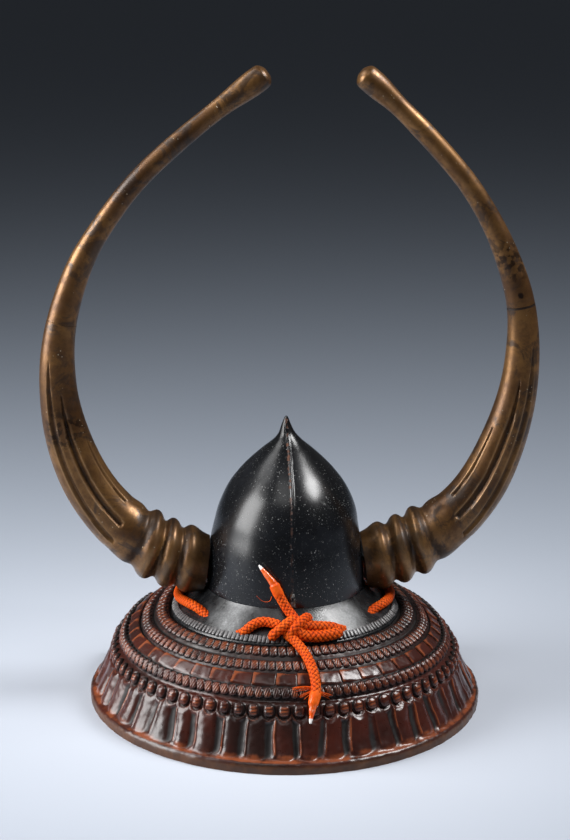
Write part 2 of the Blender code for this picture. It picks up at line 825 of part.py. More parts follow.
def cord(name, route, taped=False):
    """One free length of the cord, as a curve with a round bevel. A taped end narrows to its tip."""
    points = [point for _, point in cord_line(route)]
    shape = bpy.data.curves.new(name, "CURVE")
    shape.dimensions = "3D"
    shape.bevel_depth = CORD_DIAMETER / 2
    shape.bevel_resolution = 2
    shape.use_fill_caps = True
    line = shape.splines.new("POLY")
    line.points.add(len(points) - 1)
    for knot, point in zip(line.points, points):
        knot.co = (*point, 1.0)
        left = (points[-1] - point).length
        if taped and left < TAPE_LENGTH:
            knot.radius = TAPE_TIP + (1 - TAPE_TIP) * left / TAPE_LENGTH
    shape.materials.append(ORANGE_SILK)
    made = bpy.data.objects.new(name, shape)
    bpy.context.scene.collection.objects.link(made)
    made.location = centre_shift()
    return made


def cord_knot():
    """The tied knot with its flat bow, as one form with a socket for each length of cord."""
    tilt = math.radians(KNOT_TILT)
    rows = []
    for azimuth, reach, height, wide, thick in KNOT_SECTIONS:
        turn = math.radians(azimuth)
        outward = Vector((math.sin(turn), -math.cos(turn), 0.0))
        centre = outward * reach + Vector((0.0, 0.0, height))
        normal = outward * math.sin(tilt) + Vector((0.0, 0.0, math.cos(tilt)))
        slope = outward * math.cos(tilt) - Vector((0.0, 0.0, math.sin(tilt)))
        rows.append([
            centre + slope * (wide * math.cos(angle)) + normal * (thick * math.sin(angle))
            for angle in (2 * math.pi * k / KNOT_SIDES for k in range(KNOT_SIDES))
        ])
    made = skin("cord_knot", rows, ORANGE_SILK)
    loop = [point for _, point in cord_line(LOOP_ROUTE)]
    for name, route in (("upper", UPPER_TAIL_ROUTE), ("lower", LOWER_TAIL_ROUTE)):
        points = [point for _, point in cord_line(route)]
        cut(made, tube("knot_socket_" + name, points[:3], GAP))
    cut(made, tube("knot_socket_left", loop[:3], GAP))
    cut(made, tube("knot_socket_right", loop[:-4:-1], GAP))
    return shade(made)


bowl()
base_flange()
neck_guard()
for horn_side in ("left", "right"):
    horn_base(horn_side)
    horn_tip(horn_side)
    prong_bar("horn_prong_" + horn_side, horn_side)
ring_post()
cord("cord_loop", LOOP_ROUTE)
cord("cord_tail_upper", UPPER_TAIL_ROUTE, taped=True)
cord("cord_tail_lower", LOWER_TAIL_ROUTE, taped=True)
cord_knot()
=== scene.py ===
# %% [markdown]
# # A samurai helmet with great horns, seen from behind
#
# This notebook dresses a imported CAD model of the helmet. The CAD solids fix every size and place, and
# the pieces made here stand on them: a lacquered bowl drawn up to a point, a flange with a braided
# cord through it, a broad neck guard moulded to look like laced rows of plates, and two gilt horns.
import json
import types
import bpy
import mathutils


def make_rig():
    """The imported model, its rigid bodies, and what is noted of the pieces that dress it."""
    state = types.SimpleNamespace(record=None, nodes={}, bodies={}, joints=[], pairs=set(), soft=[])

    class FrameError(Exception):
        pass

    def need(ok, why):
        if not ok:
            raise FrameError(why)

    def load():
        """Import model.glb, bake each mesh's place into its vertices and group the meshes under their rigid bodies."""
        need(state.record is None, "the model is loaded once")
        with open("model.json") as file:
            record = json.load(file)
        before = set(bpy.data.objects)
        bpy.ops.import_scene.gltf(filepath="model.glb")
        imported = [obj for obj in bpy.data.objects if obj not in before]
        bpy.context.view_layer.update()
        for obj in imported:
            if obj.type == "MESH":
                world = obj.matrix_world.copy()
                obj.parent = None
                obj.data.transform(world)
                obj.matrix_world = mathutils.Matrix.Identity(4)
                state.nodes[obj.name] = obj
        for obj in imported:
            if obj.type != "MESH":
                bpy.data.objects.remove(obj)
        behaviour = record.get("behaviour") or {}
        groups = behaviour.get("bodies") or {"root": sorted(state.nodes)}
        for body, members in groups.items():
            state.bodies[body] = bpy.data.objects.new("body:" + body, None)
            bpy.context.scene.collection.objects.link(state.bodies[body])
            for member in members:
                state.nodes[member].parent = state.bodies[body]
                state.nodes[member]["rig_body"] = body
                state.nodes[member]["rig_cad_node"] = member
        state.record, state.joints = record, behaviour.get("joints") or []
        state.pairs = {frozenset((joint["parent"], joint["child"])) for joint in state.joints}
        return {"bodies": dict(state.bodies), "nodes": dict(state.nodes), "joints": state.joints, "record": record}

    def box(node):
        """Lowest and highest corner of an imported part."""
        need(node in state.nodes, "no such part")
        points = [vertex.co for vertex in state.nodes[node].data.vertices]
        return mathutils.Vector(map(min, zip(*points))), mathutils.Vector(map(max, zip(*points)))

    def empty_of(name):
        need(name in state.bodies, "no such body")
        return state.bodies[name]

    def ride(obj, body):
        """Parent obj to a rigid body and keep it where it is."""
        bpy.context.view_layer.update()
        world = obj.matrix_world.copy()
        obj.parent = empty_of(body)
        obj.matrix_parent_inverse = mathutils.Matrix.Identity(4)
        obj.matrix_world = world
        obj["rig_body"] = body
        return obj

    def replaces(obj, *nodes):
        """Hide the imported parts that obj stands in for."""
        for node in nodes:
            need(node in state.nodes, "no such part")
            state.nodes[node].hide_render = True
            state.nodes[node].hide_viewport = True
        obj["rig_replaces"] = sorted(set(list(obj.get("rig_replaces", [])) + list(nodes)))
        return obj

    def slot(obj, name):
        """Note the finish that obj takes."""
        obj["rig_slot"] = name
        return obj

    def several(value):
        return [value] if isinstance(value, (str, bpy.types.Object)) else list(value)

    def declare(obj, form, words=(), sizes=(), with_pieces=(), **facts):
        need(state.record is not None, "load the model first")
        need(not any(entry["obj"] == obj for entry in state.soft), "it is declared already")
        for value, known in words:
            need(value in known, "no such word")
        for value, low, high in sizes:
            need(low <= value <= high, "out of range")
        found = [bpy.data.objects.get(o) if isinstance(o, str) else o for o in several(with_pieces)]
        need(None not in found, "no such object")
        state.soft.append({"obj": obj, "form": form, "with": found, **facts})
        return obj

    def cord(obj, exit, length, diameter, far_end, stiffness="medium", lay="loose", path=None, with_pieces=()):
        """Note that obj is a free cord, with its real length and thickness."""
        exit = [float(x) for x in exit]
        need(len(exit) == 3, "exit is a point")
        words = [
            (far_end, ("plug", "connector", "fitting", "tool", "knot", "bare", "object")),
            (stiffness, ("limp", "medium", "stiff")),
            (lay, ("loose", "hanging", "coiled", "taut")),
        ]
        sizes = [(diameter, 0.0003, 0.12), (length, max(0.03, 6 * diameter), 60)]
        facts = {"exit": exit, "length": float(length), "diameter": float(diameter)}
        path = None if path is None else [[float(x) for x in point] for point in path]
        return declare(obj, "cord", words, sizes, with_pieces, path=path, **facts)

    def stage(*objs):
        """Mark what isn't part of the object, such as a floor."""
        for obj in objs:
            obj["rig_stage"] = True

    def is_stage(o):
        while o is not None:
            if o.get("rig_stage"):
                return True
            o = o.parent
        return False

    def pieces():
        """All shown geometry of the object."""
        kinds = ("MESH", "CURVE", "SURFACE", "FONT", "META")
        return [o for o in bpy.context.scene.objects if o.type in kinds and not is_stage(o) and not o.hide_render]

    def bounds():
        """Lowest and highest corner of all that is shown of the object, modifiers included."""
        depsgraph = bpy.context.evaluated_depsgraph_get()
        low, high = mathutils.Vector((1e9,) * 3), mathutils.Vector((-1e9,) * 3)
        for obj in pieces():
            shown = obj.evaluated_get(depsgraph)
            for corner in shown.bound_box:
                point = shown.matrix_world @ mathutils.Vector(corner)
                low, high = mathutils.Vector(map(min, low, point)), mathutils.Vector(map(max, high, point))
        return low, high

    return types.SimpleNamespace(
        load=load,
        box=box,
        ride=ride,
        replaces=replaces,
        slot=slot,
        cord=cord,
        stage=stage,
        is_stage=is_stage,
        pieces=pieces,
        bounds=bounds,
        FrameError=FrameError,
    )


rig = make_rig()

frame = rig.load()

import json
import math
import random

import bmesh
import bpy
import numpy as np
from mathutils import Matrix, Vector, noise

cad_bounds = [list(corner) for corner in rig.bounds()]
print("nodes:", ", ".join(sorted(frame["nodes"])))

# %% [markdown]
# ## The helmet's own frame
#
# Everything on a helmet is placed by how far round it is and how far out. So the sizes below are
# taken from the bowl's vertical axis, and an azimuth is measured from the middle of the back, in
# degrees, towards +X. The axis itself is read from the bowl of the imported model.

# %% Axis of the bowl
BOWL_BACK_REACH = 0.104
BOWL_FACE_REACH = 0.112
bowl_low, bowl_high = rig.box("bowl")
AXIS = Vector((
    (bowl_low[0] + bowl_high[0]) / 2,
    (bowl_low[1] + bowl_high[1]) / 2 - (BOWL_FACE_REACH - BOWL_BACK_REACH) / 2,
    0.0,
))


def on_axis(azimuth, reach, height):
    """The point at an azimuth, a distance from the bowl's axis and a height."""
    turn = math.radians(azimuth)
    return AXIS + Vector((reach * math.sin(turn), -reach * math.cos(turn), height))


print("axis at", tuple(round(c, 5) for c in AXIS))

# %% [markdown]
# ## Camera and light
#
# The camera comes first, because the cords must stay in its view. It looks slightly down on the back
# of the helmet, from a little to the left, with a long lens that keeps the horns from bending away.

# %% Camera
VIEW_DISTANCE = 2.3
VIEW_PITCH = math.radians(15.0)
VIEW_YAW = math.radians(4.5)
VIEW_ROLL = math.radians(0.4)
VIEW_TARGET = AXIS + Vector((-0.0015, 0.0, 0.334))
LENS = 85.0


def add_camera():
    back = Vector((
        -math.sin(VIEW_YAW) * math.cos(VIEW_PITCH),
        -math.cos(VIEW_YAW) * math.cos(VIEW_PITCH),
        math.sin(VIEW_PITCH),
    ))
    aim = back.to_track_quat("Z", "Y").to_matrix().to_4x4()
    aim.translation = VIEW_TARGET + back * VIEW_DISTANCE
    camera = bpy.data.objects.new("camera", bpy.data.cameras.new("camera"))
    camera.data.lens = LENS
    camera.matrix_world = aim
    camera.rotation_euler.rotate_axis("Z", VIEW_ROLL)
    bpy.context.scene.collection.objects.link(camera)
    bpy.context.scene.camera = camera
    return camera


camera = add_camera()
print("camera at", tuple(round(c, 3) for c in camera.location))

# %% [markdown]
# Black lacquer shows little but what it mirrors. A tall soft box on the left draws the long highlight
# down the bowl. Smaller ones hang high on both sides and light the slopes of the flange and the guard,
# and a faint one hangs high on the camera's side. A dim world keeps the shadows from going black.

# %% Soft boxes and world
SOFT_BOXES = (
    # name, azimuth, distance, height, width, length, watts
    ("left_box", -84.0, 1.7, 0.92, 1.1, 1.4, 58.0),
    ("left_top", -108.0, 1.3, 2.0, 1.0, 0.8, 10.0),
    ("right_top", 82.0, 1.4, 2.0, 1.0, 0.7, 56.0),
    ("front_top", -22.0, 1.3, 2.6, 1.2, 1.2, 9.0),
)
WORLD_COLOUR = (0.80, 0.83, 0.88, 1.0)
WORLD_STRENGTH = 0.075
LIGHT_AIM_HEIGHT = 0.2


def add_soft_box(name, azimuth, distance, height, width, length, watts):
    light = bpy.data.objects.new(name, bpy.data.lights.new(name, "AREA"))
    light.data.shape = "RECTANGLE"
    light.data.size = width
    light.data.size_y = length
    light.data.energy = watts
    light.location = on_axis(azimuth, distance, height)
    aim = AXIS + Vector((0.0, 0.0, LIGHT_AIM_HEIGHT)) - light.location
    light.rotation_euler = aim.to_track_quat("-Z", "Y").to_euler()
    bpy.context.scene.collection.objects.link(light)


for box in SOFT_BOXES:
    add_soft_box(*box)
world = bpy.data.worlds.new("studio")
world.use_nodes = True
world.node_tree.nodes["Background"].inputs["Color"].default_value = WORLD_COLOUR
world.node_tree.nodes["Background"].inputs["Strength"].default_value = WORLD_STRENGTH
bpy.context.scene.world = world
print(len(SOFT_BOXES), "soft boxes")

# %% [markdown]
# ## Shader maths as Python
#
# A procedural material is a sum of masks and colours. Written as nodes it is hard to read, so the
# class below wraps one socket and gives it Python's own operators: `1 - mask` adds a Math node.

# %% The Wire class
class Wire:
    """One socket in a material. Arithmetic on it adds Math nodes, and node() adds any other."""

    def __init__(self, tree, socket=None):
        self.tree = tree
        self.socket = socket

    def node(self, kind, settings, inputs, output=0):
        """Adds a node: its settings first, then the values or links of its sockets."""
        made = self.tree.nodes.new("ShaderNode" + kind)
        for name, value in settings.items():
            setattr(made, name, value)
        for name, value in inputs.items():
            if isinstance(value, Wire):
                self.tree.links.new(value.socket, made.inputs[name])
            else:
                made.inputs[name].default_value = value
        return Wire(self.tree, made.outputs[output])

    def maths(self, operation, *values):
        return self.node("Math", {"operation": operation}, dict(enumerate(values)))

    def __add__(self, other):
        return self.maths("ADD", self, other)

    def __sub__(self, other):
        return self.maths("SUBTRACT", self, other)

    def __rsub__(self, other):
        return self.maths("SUBTRACT", other, self)

    def __mul__(self, other):
        return self.maths("MULTIPLY", self, other)

    __radd__ = __add__
    __rmul__ = __mul__

    def between(self, low, high):
        """A smooth step from 0 at low to 1 at high."""
        steps = {"interpolation_type": "SMOOTHSTEP", "clamp": True}
        return self.node("MapRange", steps, {0: self, 1: low, 2: high, 3: 0.0, 4: 1.0})

    def mix(self, first, second):
        """A colour that goes from the first to the second as this mask goes from 0 to 1."""
        return self.node("Mix", {"data_type": "RGBA"}, {0: self, 6: colour(first), 7: colour(second)}, 2)

    def clipped(self):
        return self.node("Clamp", {}, {0: self})


def colour(value):
    """A colour as four numbers, or the wire that carries one."""
    return value if isinstance(value, Wire) else (*value, 1.0)


print("Wire ready")

# %% [markdown]
# Each finish starts from a Principled shader. `Finish` opens it, hands out the textures that the
# finishes share, and links what varies to Base Color, Roughness, Metallic, Coat Weight and Normal.

# %% Opening and closing a finish
class Finish(Wire):
    """A named material with a Principled shader, read in the object's own coordinates."""

    def __init__(self, name, **fixed):
        self.material = bpy.data.materials.new(name)
        self.material.use_nodes = True
        super().__init__(self.material.node_tree)
        self.shader = self.tree.nodes["Principled BSDF"]
        for socket, value in fixed.items():
            self.shader.inputs[socket.replace("_", " ")].default_value = value
        self.place = self.node("TexCoord", {}, {}, "Object")

    def noise(self, scale, detail=4.0, roughness=0.55, distortion=0.0, place=None):
        inputs = {"Vector": place or self.place, "Scale": scale, "Detail": detail}
        inputs.update({"Roughness": roughness, "Distortion": distortion})
        return self.node("TexNoise", {}, inputs)

    def specks(self, scale, place=None):
        """The distance to the nearest of many scattered points."""
        inputs = {"Vector": place or self.place, "Scale": scale}
        return self.node("TexVoronoi", {"feature": "F1"}, inputs, "Distance")

    def mark(self, name):
        """A number stored on the mesh, point by point."""
        return self.node("Attribute", {"attribute_name": name}, {}, "Fac")

    def away(self, spot):
        """The distance from a spot, given as azimuth, reach and height."""
        inputs = {0: self.place, 1: on_axis(*spot)}
        return self.node("VectorMath", {"operation": "DISTANCE"}, inputs, "Value")

    def axis(self, letter):
        return self.node("SeparateXYZ", {}, {0: self.place}, letter)

    def bump(self, height, distance, strength=1.0):
        return self.node("Bump", {}, {"Height": height, "Distance": distance, "Strength": strength})

    def close(self, **varied):
        """Links what varies over the surface, and returns the material."""
        for socket, value in varied.items():
            self.tree.links.new(value.socket, self.shader.inputs[socket.replace("_", " ")])
        return self.material


print("Finish ready")

# %% [markdown]
# ## Orange silk
#
# The cord is a round braid of bright orange silk. The bundles stand proud and catch the light, and the
# gaps between them are painted deep red as painted shade. The mesh stores how deep each point lies in the
# braid as `hollow`, and fine threads along each bundle are left to bump. On the clear tape, pale streaks
# are painted highlights.

# %% Silk
SILK_BRIGHT = (0.72, 0.078, 0.003)
SILK_PALE = (0.92, 0.19, 0.014)
SILK_GAP_SHADE = (0.14, 0.008, 0.0015)
TAPE_HIGHLIGHT = (0.85, 0.45, 0.30)
TAPE_WHITE = (0.88, 0.84, 0.80)
THREAD_SCALE = 2600.0


def orange_silk():
    silk = Finish("orange_silk", Coat_Roughness=0.1, Specular_IOR_Level=0.12)
    hollow = silk.mark("hollow")
    tape = silk.mark("tape")
    tone = silk.noise(90.0).between(0.35, 0.7)
    top = (tone * 0.4).mix(SILK_BRIGHT, SILK_PALE)
    # Painted shade: the gaps of the braid go deep red.
    skin = hollow.between(0.15, 0.8).mix(top, SILK_GAP_SHADE)
    # Painted highlights: pale streaks on the clear tape.
    tape_highlight_streaks = silk.noise(420.0, 3.0).between(0.5, 0.7)
    skin = (tape.between(0.5, 0.9) * tape_highlight_streaks * 0.55).mix(skin, TAPE_HIGHLIGHT)
    skin = tape.between(1.2, 1.8).mix(skin, TAPE_WHITE)
    threads = silk.noise(THREAD_SCALE, 2.0)
    return silk.close(
        Base_Color=skin,
        Roughness=(0.55 + hollow * 0.25 - tape * 0.35).clipped(),
        Coat_Weight=tape.clipped(),
        Normal=silk.bump(threads, 0.0002, 0.6),
    )


ORANGE_SILK = orange_silk()
print(ORANGE_SILK.name)

# %% [markdown]
# ## A skin rolled up from a grid
#
# Cords, the flange and the moulded guard are all rings of points, one after the other. A grid has rows
# and columns in the same way, and it brings a UV map. So each of them starts as a flat grid, whose
# rows are laid on the rings, whose seam is then merged and whose ends are filled.

# %% Rolling a grid
MERGE_DISTANCE = 2e-6


def deselect_all():
    if bpy.context.object and bpy.context.object.mode != "OBJECT":
        bpy.ops.object.mode_set(mode="OBJECT")
    bpy.ops.object.select_all(action="DESELECT")


def take(piece):
    """Makes a piece the one that operators act on."""
    deselect_all()
    bpy.context.view_layer.objects.active = piece
    piece.select_set(True)
    return piece


def close_up(piece):
    """Merges the seam, fills the open ends and turns the faces outwards."""
    take(piece)
    bpy.ops.object.mode_set(mode="EDIT")
    bpy.ops.mesh.select_all(action="SELECT")
    bpy.ops.mesh.remove_doubles(threshold=MERGE_DISTANCE)
    bpy.ops.mesh.select_all(action="DESELECT")
    bpy.ops.mesh.select_non_manifold()
    bpy.ops.mesh.fill_holes(sides=0)
    bpy.ops.mesh.select_all(action="SELECT")
    bpy.ops.mesh.normals_make_consistent(inside=False)
    bpy.ops.object.mode_set(mode="OBJECT")


def store(piece, label, values):
    """Stores a number on every point of a mesh, for the material to read."""
    piece.data.attributes.new(label, "FLOAT", "POINT").data.foreach_set("value", values)


def rolled(name, rings, **marks):
    """A closed skin over rings of points. Each mark becomes a number stored on every point."""
    deselect_all()
    along, count = len(rings) - 1, len(rings[0])
    bpy.ops.mesh.primitive_grid_add(x_subdivisions=along, y_subdivisions=count, size=1.0)
    piece = bpy.context.object
    piece.name = piece.data.name = name
    cells = [(round((vertex.co.x + 0.5) * along), round((vertex.co.y + 0.5) * count) % count)
             for vertex in piece.data.vertices]
    for vertex, (i, j) in zip(piece.data.vertices, cells):
        vertex.co = rings[i][j]
    for label, rows in marks.items():
        store(piece, label, [rows[i][j] for i, j in cells])
    close_up(piece)
    bpy.ops.object.shade_smooth()
    return piece


def dress(piece, material, slot, *replaced):
    """Gives a finished piece its material, its body and the CAD nodes that it stands for."""
    piece.data.materials.clear()
    piece.data.materials.append(material)
    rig.ride(piece, "root")
    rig.slot(piece, slot)
    if replaced:
        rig.replaces(piece, *replaced)
    print(piece.name, len(piece.data.polygons), "faces")
    return piece


print("rolled and dress ready")

# %% [markdown]
# ## The cords
#
# One loop of cord starts at the knot, dives through a hole in the flange, comes up again under the
# horn, runs round the face and returns the same way. Its two tails leave the knot and end in tape.
# The routes are listed points, the same as in the CAD model, with a smooth curve through them.
# Only the last two points of the lower tail lie about a millimetre further out, on the moulded plates.

# %% Routes
CORD_DIAMETER = 0.0115
LOOP_ROUTE = (
    # azimuth, reach, height
    (-7.5, 0.1253, 0.1286),
    (-13.5, 0.1228, 0.1305),
    (-18.2, 0.1234, 0.1296),
    (-22.3, 0.1252, 0.1245),
    (-26.3, 0.1264, 0.1161),
    (-30.5, 0.1239, 0.1114),
    (-35.5, 0.1203, 0.1099),
    (-42.0, 0.1169, 0.1114),
    (-48.5, 0.1143, 0.1134),
    (-54.5, 0.1139, 0.1168),
    (-59.8, 0.1154, 0.1212),
    (-65.0, 0.1183, 0.1245),
    (-71.0, 0.1208, 0.1249),
    (-80.0, 0.1226, 0.1226),
    (-90.0, 0.1256, 0.1195),
    (-103.0, 0.1280, 0.1174),
    (-122.0, 0.1298, 0.1176),
    (-142.0, 0.1318, 0.1209),
    (-161.0, 0.1331, 0.1258),
    (-180.0, 0.1336, 0.1286),
    (-199.0, 0.1331, 0.1258),
    (-218.0, 0.1318, 0.1209),
    (-238.0, 0.1298, 0.1176),
    (-257.0, 0.1280, 0.1174),
    (-270.0, 0.1255, 0.1196),
    (-280.0, 0.1238, 0.1217),
    (-289.5, 0.1223, 0.1238),
    (-296.2, 0.1198, 0.1237),
    (-301.7, 0.1156, 0.1212),
    (-307.2, 0.1135, 0.1174),
    (-313.0, 0.1137, 0.1141),
    (-319.0, 0.1159, 0.1124),
    (-325.5, 0.1187, 0.1114),
    (-330.5, 0.1215, 0.1136),
    (-335.0, 0.1246, 0.1179),
    (-338.5, 0.1278, 0.1213),
)
UPPER_TAIL_ROUTE = (
    # azimuth, reach, height
    (1.4, 0.1225, 0.1320),
    (-0.2, 0.1187, 0.1365),
    (-3.2, 0.1136, 0.1432),
    (-6.7, 0.1098, 0.1535),
    (-9.6, 0.1079, 0.1634),
    (-12.0, 0.1065, 0.1718),
    (-16.4, 0.1052, 0.1811),
    (-21.3, 0.1030, 0.1903),
)
LOWER_TAIL_ROUTE = (
    # azimuth, reach, height
    (-5.1, 0.1285, 0.1255),
    (-2.9, 0.1350, 0.1209),
    (0.5, 0.1438, 0.1152),
    (3.2, 0.1563, 0.1092),
    (4.7, 0.1705, 0.1025),
    (5.4, 0.1837, 0.0956),
    (5.6, 0.1942, 0.0878),
    (5.2, 0.2034, 0.0795),
    (4.0, 0.2123, 0.0683),
    (2.8, 0.2226, 0.0508),
)


def smooth_path(rows, parts=8):
    """Points of a smooth curve through the rows, with every column carried along."""
    first = tuple(2 * a - b for a, b in zip(rows[0], rows[1]))
    last = tuple(2 * a - b for a, b in zip(rows[-1], rows[-2]))
    rows = [first, *rows, last]
    found = []
    for before, here, ahead, after in zip(rows, rows[1:], rows[2:], rows[3:]):
        for part in range(parts):
            t = part / parts
            found.append(tuple(
                0.5 * (2 * q + (r - p) * t + (2 * p - 5 * q + 4 * r - s) * t ** 2
                       + (3 * q - 3 * r + s - p) * t ** 3)
                for p, q, r, s in zip(before, here, ahead, after)
            ))
    found.append(rows[-2])
    return found


def route_points(route):
    return [on_axis(*row) for row in smooth_path(route)]


def measured(points):
    """The length run at each point of a line."""
    run = [0.0]
    for first, second in zip(points, points[1:]):
        run.append(run[-1] + (second - first).length)
    return run


for cord_route in (LOOP_ROUTE, UPPER_TAIL_ROUTE, LOWER_TAIL_ROUTE):
    print(round(measured(route_points(cord_route))[-1] * 1000, 1), "mm of cord")

# %% [markdown]
# A round braid is two families of bundles that cross, one going round to the left and one to the
# right. Each passes over and under the other like a chessboard: on one colour of field the left-going
# bundle is on top, and on the other the right-going one. That rule gives a height to every point.

# %% The braid's relief
BRAID_TURNS = 5
BRAID_PITCH = 0.0052
BRAID_DEPTH = 0.0011
BRAID_SIDES = 40
BRAID_STEP = 0.0008


def braid_hollow(along, turn):
    """How deep the braid lies at a place along it and a share of a turn round it, 0 on top to 1."""
    left = BRAID_TURNS * turn + along / BRAID_PITCH
    right = BRAID_TURNS * turn - along / BRAID_PITCH
    over = (math.floor(left) + math.floor(right)) % 2 == 0
    across, down = (left % 1.0, right % 1.0) if over else (right % 1.0, left % 1.0)
    crown = math.sin(math.pi * across) ** 0.7
    dip = 0.75 + 0.25 * math.sin(math.pi * down)
    return 1.0 - crown * dip


def frames_along(points):
    """A side and an up direction at each point, carried along without twisting."""
    found = []
    side = None
    for i, point in enumerate(points):
        course = (points[min(i + 1, len(points) - 1)] - points[max(i - 1, 0)]).normalized()
        if side is None:
            side = course.orthogonal().normalized()
        side = (side - course * side.dot(course)).normalized()
        found.append((side, course.cross(side)))
    return found


def round_ring(point, side, up, radius, sides):
    """A ring of points round a line."""
    turns = (2 * math.pi * k / sides for k in range(sides))
    return [point + (side * math.cos(turn) + up * math.sin(turn)) * radius for turn in turns]


def resampled(points, step):
    """Points an even step apart along a line."""
    run = measured(points)
    count = max(2, round(run[-1] / step))
    found, k = [], 0
    for i in range(count + 1):
        goal = run[-1] * i / count
        while k < len(run) - 2 and run[k + 1] < goal:
            k += 1
        found.append(points[k].lerp(points[k + 1], (goal - run[k]) / (run[k + 1] - run[k])))
    return found


def read_table(rows, place, column):
    """One column of a table, read smoothly between its rows."""
    for low, high in zip(rows, rows[1:]):
        if place <= high[0]:
            share = max(0.0, (place - low[0]) / (high[0] - low[0]))
            share = share * share * (3 - 2 * share)
            return low[column] + (high[column] - low[column]) * share
    return rows[-1][column]


def braided(name, points, form=((0.0, 1.0, 1.0, 0.0), (1.0, 1.0, 1.0, 0.0))):
    """A braided cord along a line. A form gives its radius, relief and tape at shares of its length."""
    points = resampled(points, BRAID_STEP)
    run = measured(points)
    rings, hollows, tapes = [], [], []
    for point, (side, up), length in zip(points, frames_along(points), run):
        wide, relief_share, tape = (read_table(form, length / run[-1], column) for column in (1, 2, 3))
        ring, depths = [], []
        for j in range(BRAID_SIDES):
            turn = j / BRAID_SIDES
            hollow = braid_hollow(length, turn) * relief_share
            angle = 2 * math.pi * turn
            radius = CORD_DIAMETER / 2 * wide - BRAID_DEPTH * hollow
            ring.append(point + (side * math.cos(angle) + up * math.sin(angle)) * radius)
            depths.append(hollow)
        rings.append(ring)
        hollows.append(depths)
        tapes.append([tape] * BRAID_SIDES)
    return rolled(name, rings, hollow=hollows, tape=tapes)


loop_points = route_points(LOOP_ROUTE)
cord_loop = dress(braided("braid_loop", loop_points), ORANGE_SILK, "orange_silk", "cord_loop")

# %% [markdown]
# Each tail ends where the braid was cut and bound with clear tape. Towards its tip the relief of the
# braid fades, the cord narrows under the tape and the silk shows through it, pale at the very end.

# %% Tails
# share of the length, radius, relief, tape
UPPER_TAIL_FORM = (
    (0.00, 1.00, 1.0, 0.0),
    (0.42, 1.00, 1.0, 0.0),
    (0.50, 1.08, 0.25, 0.0),
    (0.62, 1.05, 0.10, 0.0),
    (0.65, 0.78, 0.05, 0.9),
    (0.80, 0.60, 0.0, 1.0),
    (0.91, 0.42, 0.0, 1.1),
    (0.95, 0.32, 0.0, 2.0),
    (1.00, 0.16, 0.0, 2.0),
)
LOWER_TAIL_FORM = (
    (0.00, 1.00, 1.0, 0.0),
    (0.72, 1.00, 1.0, 0.0),
    (0.76, 1.12, 0.3, 0.0),
    (0.82, 1.05, 0.1, 0.3),
    (0.88, 0.66, 0.0, 0.9),
    (0.95, 0.40, 0.0, 1.1),
    (0.97, 0.34, 0.0, 2.0),
    (1.00, 0.20, 0.0, 2.0),
)


def add_tail(end, points, form):
    tail = braided("braid_tail_" + end, points, form)
    return dress(tail, ORANGE_SILK, "orange_silk", "cord_tail_" + end)


upper_points = route_points(UPPER_TAIL_ROUTE)
lower_points = route_points(LOWER_TAIL_ROUTE)
upper_tail = add_tail("upper", upper_points, UPPER_TAIL_FORM)
lower_tail = add_tail("lower", lower_points, LOWER_TAIL_FORM)

# %% [markdown]
# The knot is two turns of cord laid side by side over the strands, and a flat bow to their right: one
# doubled length of cord whose fold lies at the hole. Each is braided like the rest, and the three are
# joined, because together they stand for the one solid of the knot.

# %% Knot
FIRST_WRAP = (
    # azimuth, reach, height
    (-9.6, 0.1290, 0.1200),
    (-10.3, 0.1352, 0.1186),
    (-8.6, 0.1374, 0.1237),
    (-6.0, 0.1352, 0.1292),
    (-2.9, 0.1298, 0.1330),
    (-0.2, 0.1236, 0.1338),
    (1.6, 0.1190, 0.1320),
)
SECOND_WRAP = (
    # azimuth, reach, height
    (-3.0, 0.1290, 0.1200),
    (-2.8, 0.1352, 0.1190),
    (-1.2, 0.1372, 0.1248),
    (1.2, 0.1346, 0.1309),
    (4.1, 0.1288, 0.1346),
    (6.9, 0.1214, 0.1352),
    (8.4, 0.1170, 0.1330),
)
BOW = (
    # azimuth, reach, height
    (-2.0, 0.1330, 0.1235),
    (1.3, 0.1340, 0.1226),
    (4.6, 0.1354, 0.1195),
    (8.3, 0.1368, 0.1186),
    (12.6, 0.1371, 0.1179),
    (16.2, 0.1368, 0.1181),
    (19.2, 0.1361, 0.1184),
    (21.3, 0.1348, 0.1182),
    (22.1, 0.1328, 0.1198),
    (21.3, 0.1307, 0.1216),
    (19.0, 0.1292, 0.1234),
    (15.8, 0.1284, 0.1246),
    (11.6, 0.1276, 0.1258),
    (7.4, 0.1272, 0.1270),
    (3.2, 0.1266, 0.1284),
    (-1.0, 0.1258, 0.1290),
)
FLAT_BOW = ((0.0, 1.0, 1.0, 0.0), (0.12, 1.2, 1.0, 0.0), (0.88, 1.2, 1.0, 0.0), (1.0, 1.0, 1.0, 0.0))


def joined(name, parts):
    """Several objects joined into one piece."""
    take(parts[0])
    for part in parts[1:]:
        part.select_set(True)
    bpy.ops.object.join()
    piece = bpy.context.object
    piece.name = piece.data.name = name
    return piece


knot_turns = [
    braided("first_wrap", route_points(FIRST_WRAP)),
    braided("second_wrap", route_points(SECOND_WRAP)),
    braided("bow", route_points(BOW), FLAT_BOW),
]
knot = dress(joined("knot", knot_turns), ORANGE_SILK, "orange_silk", "cord_knot")

# %% [markdown]
# Where the tape lets go, single threads stand out of the ends. Each is a thin tapered skin along a
# short curve, and a tuft is many of them with small random bends.

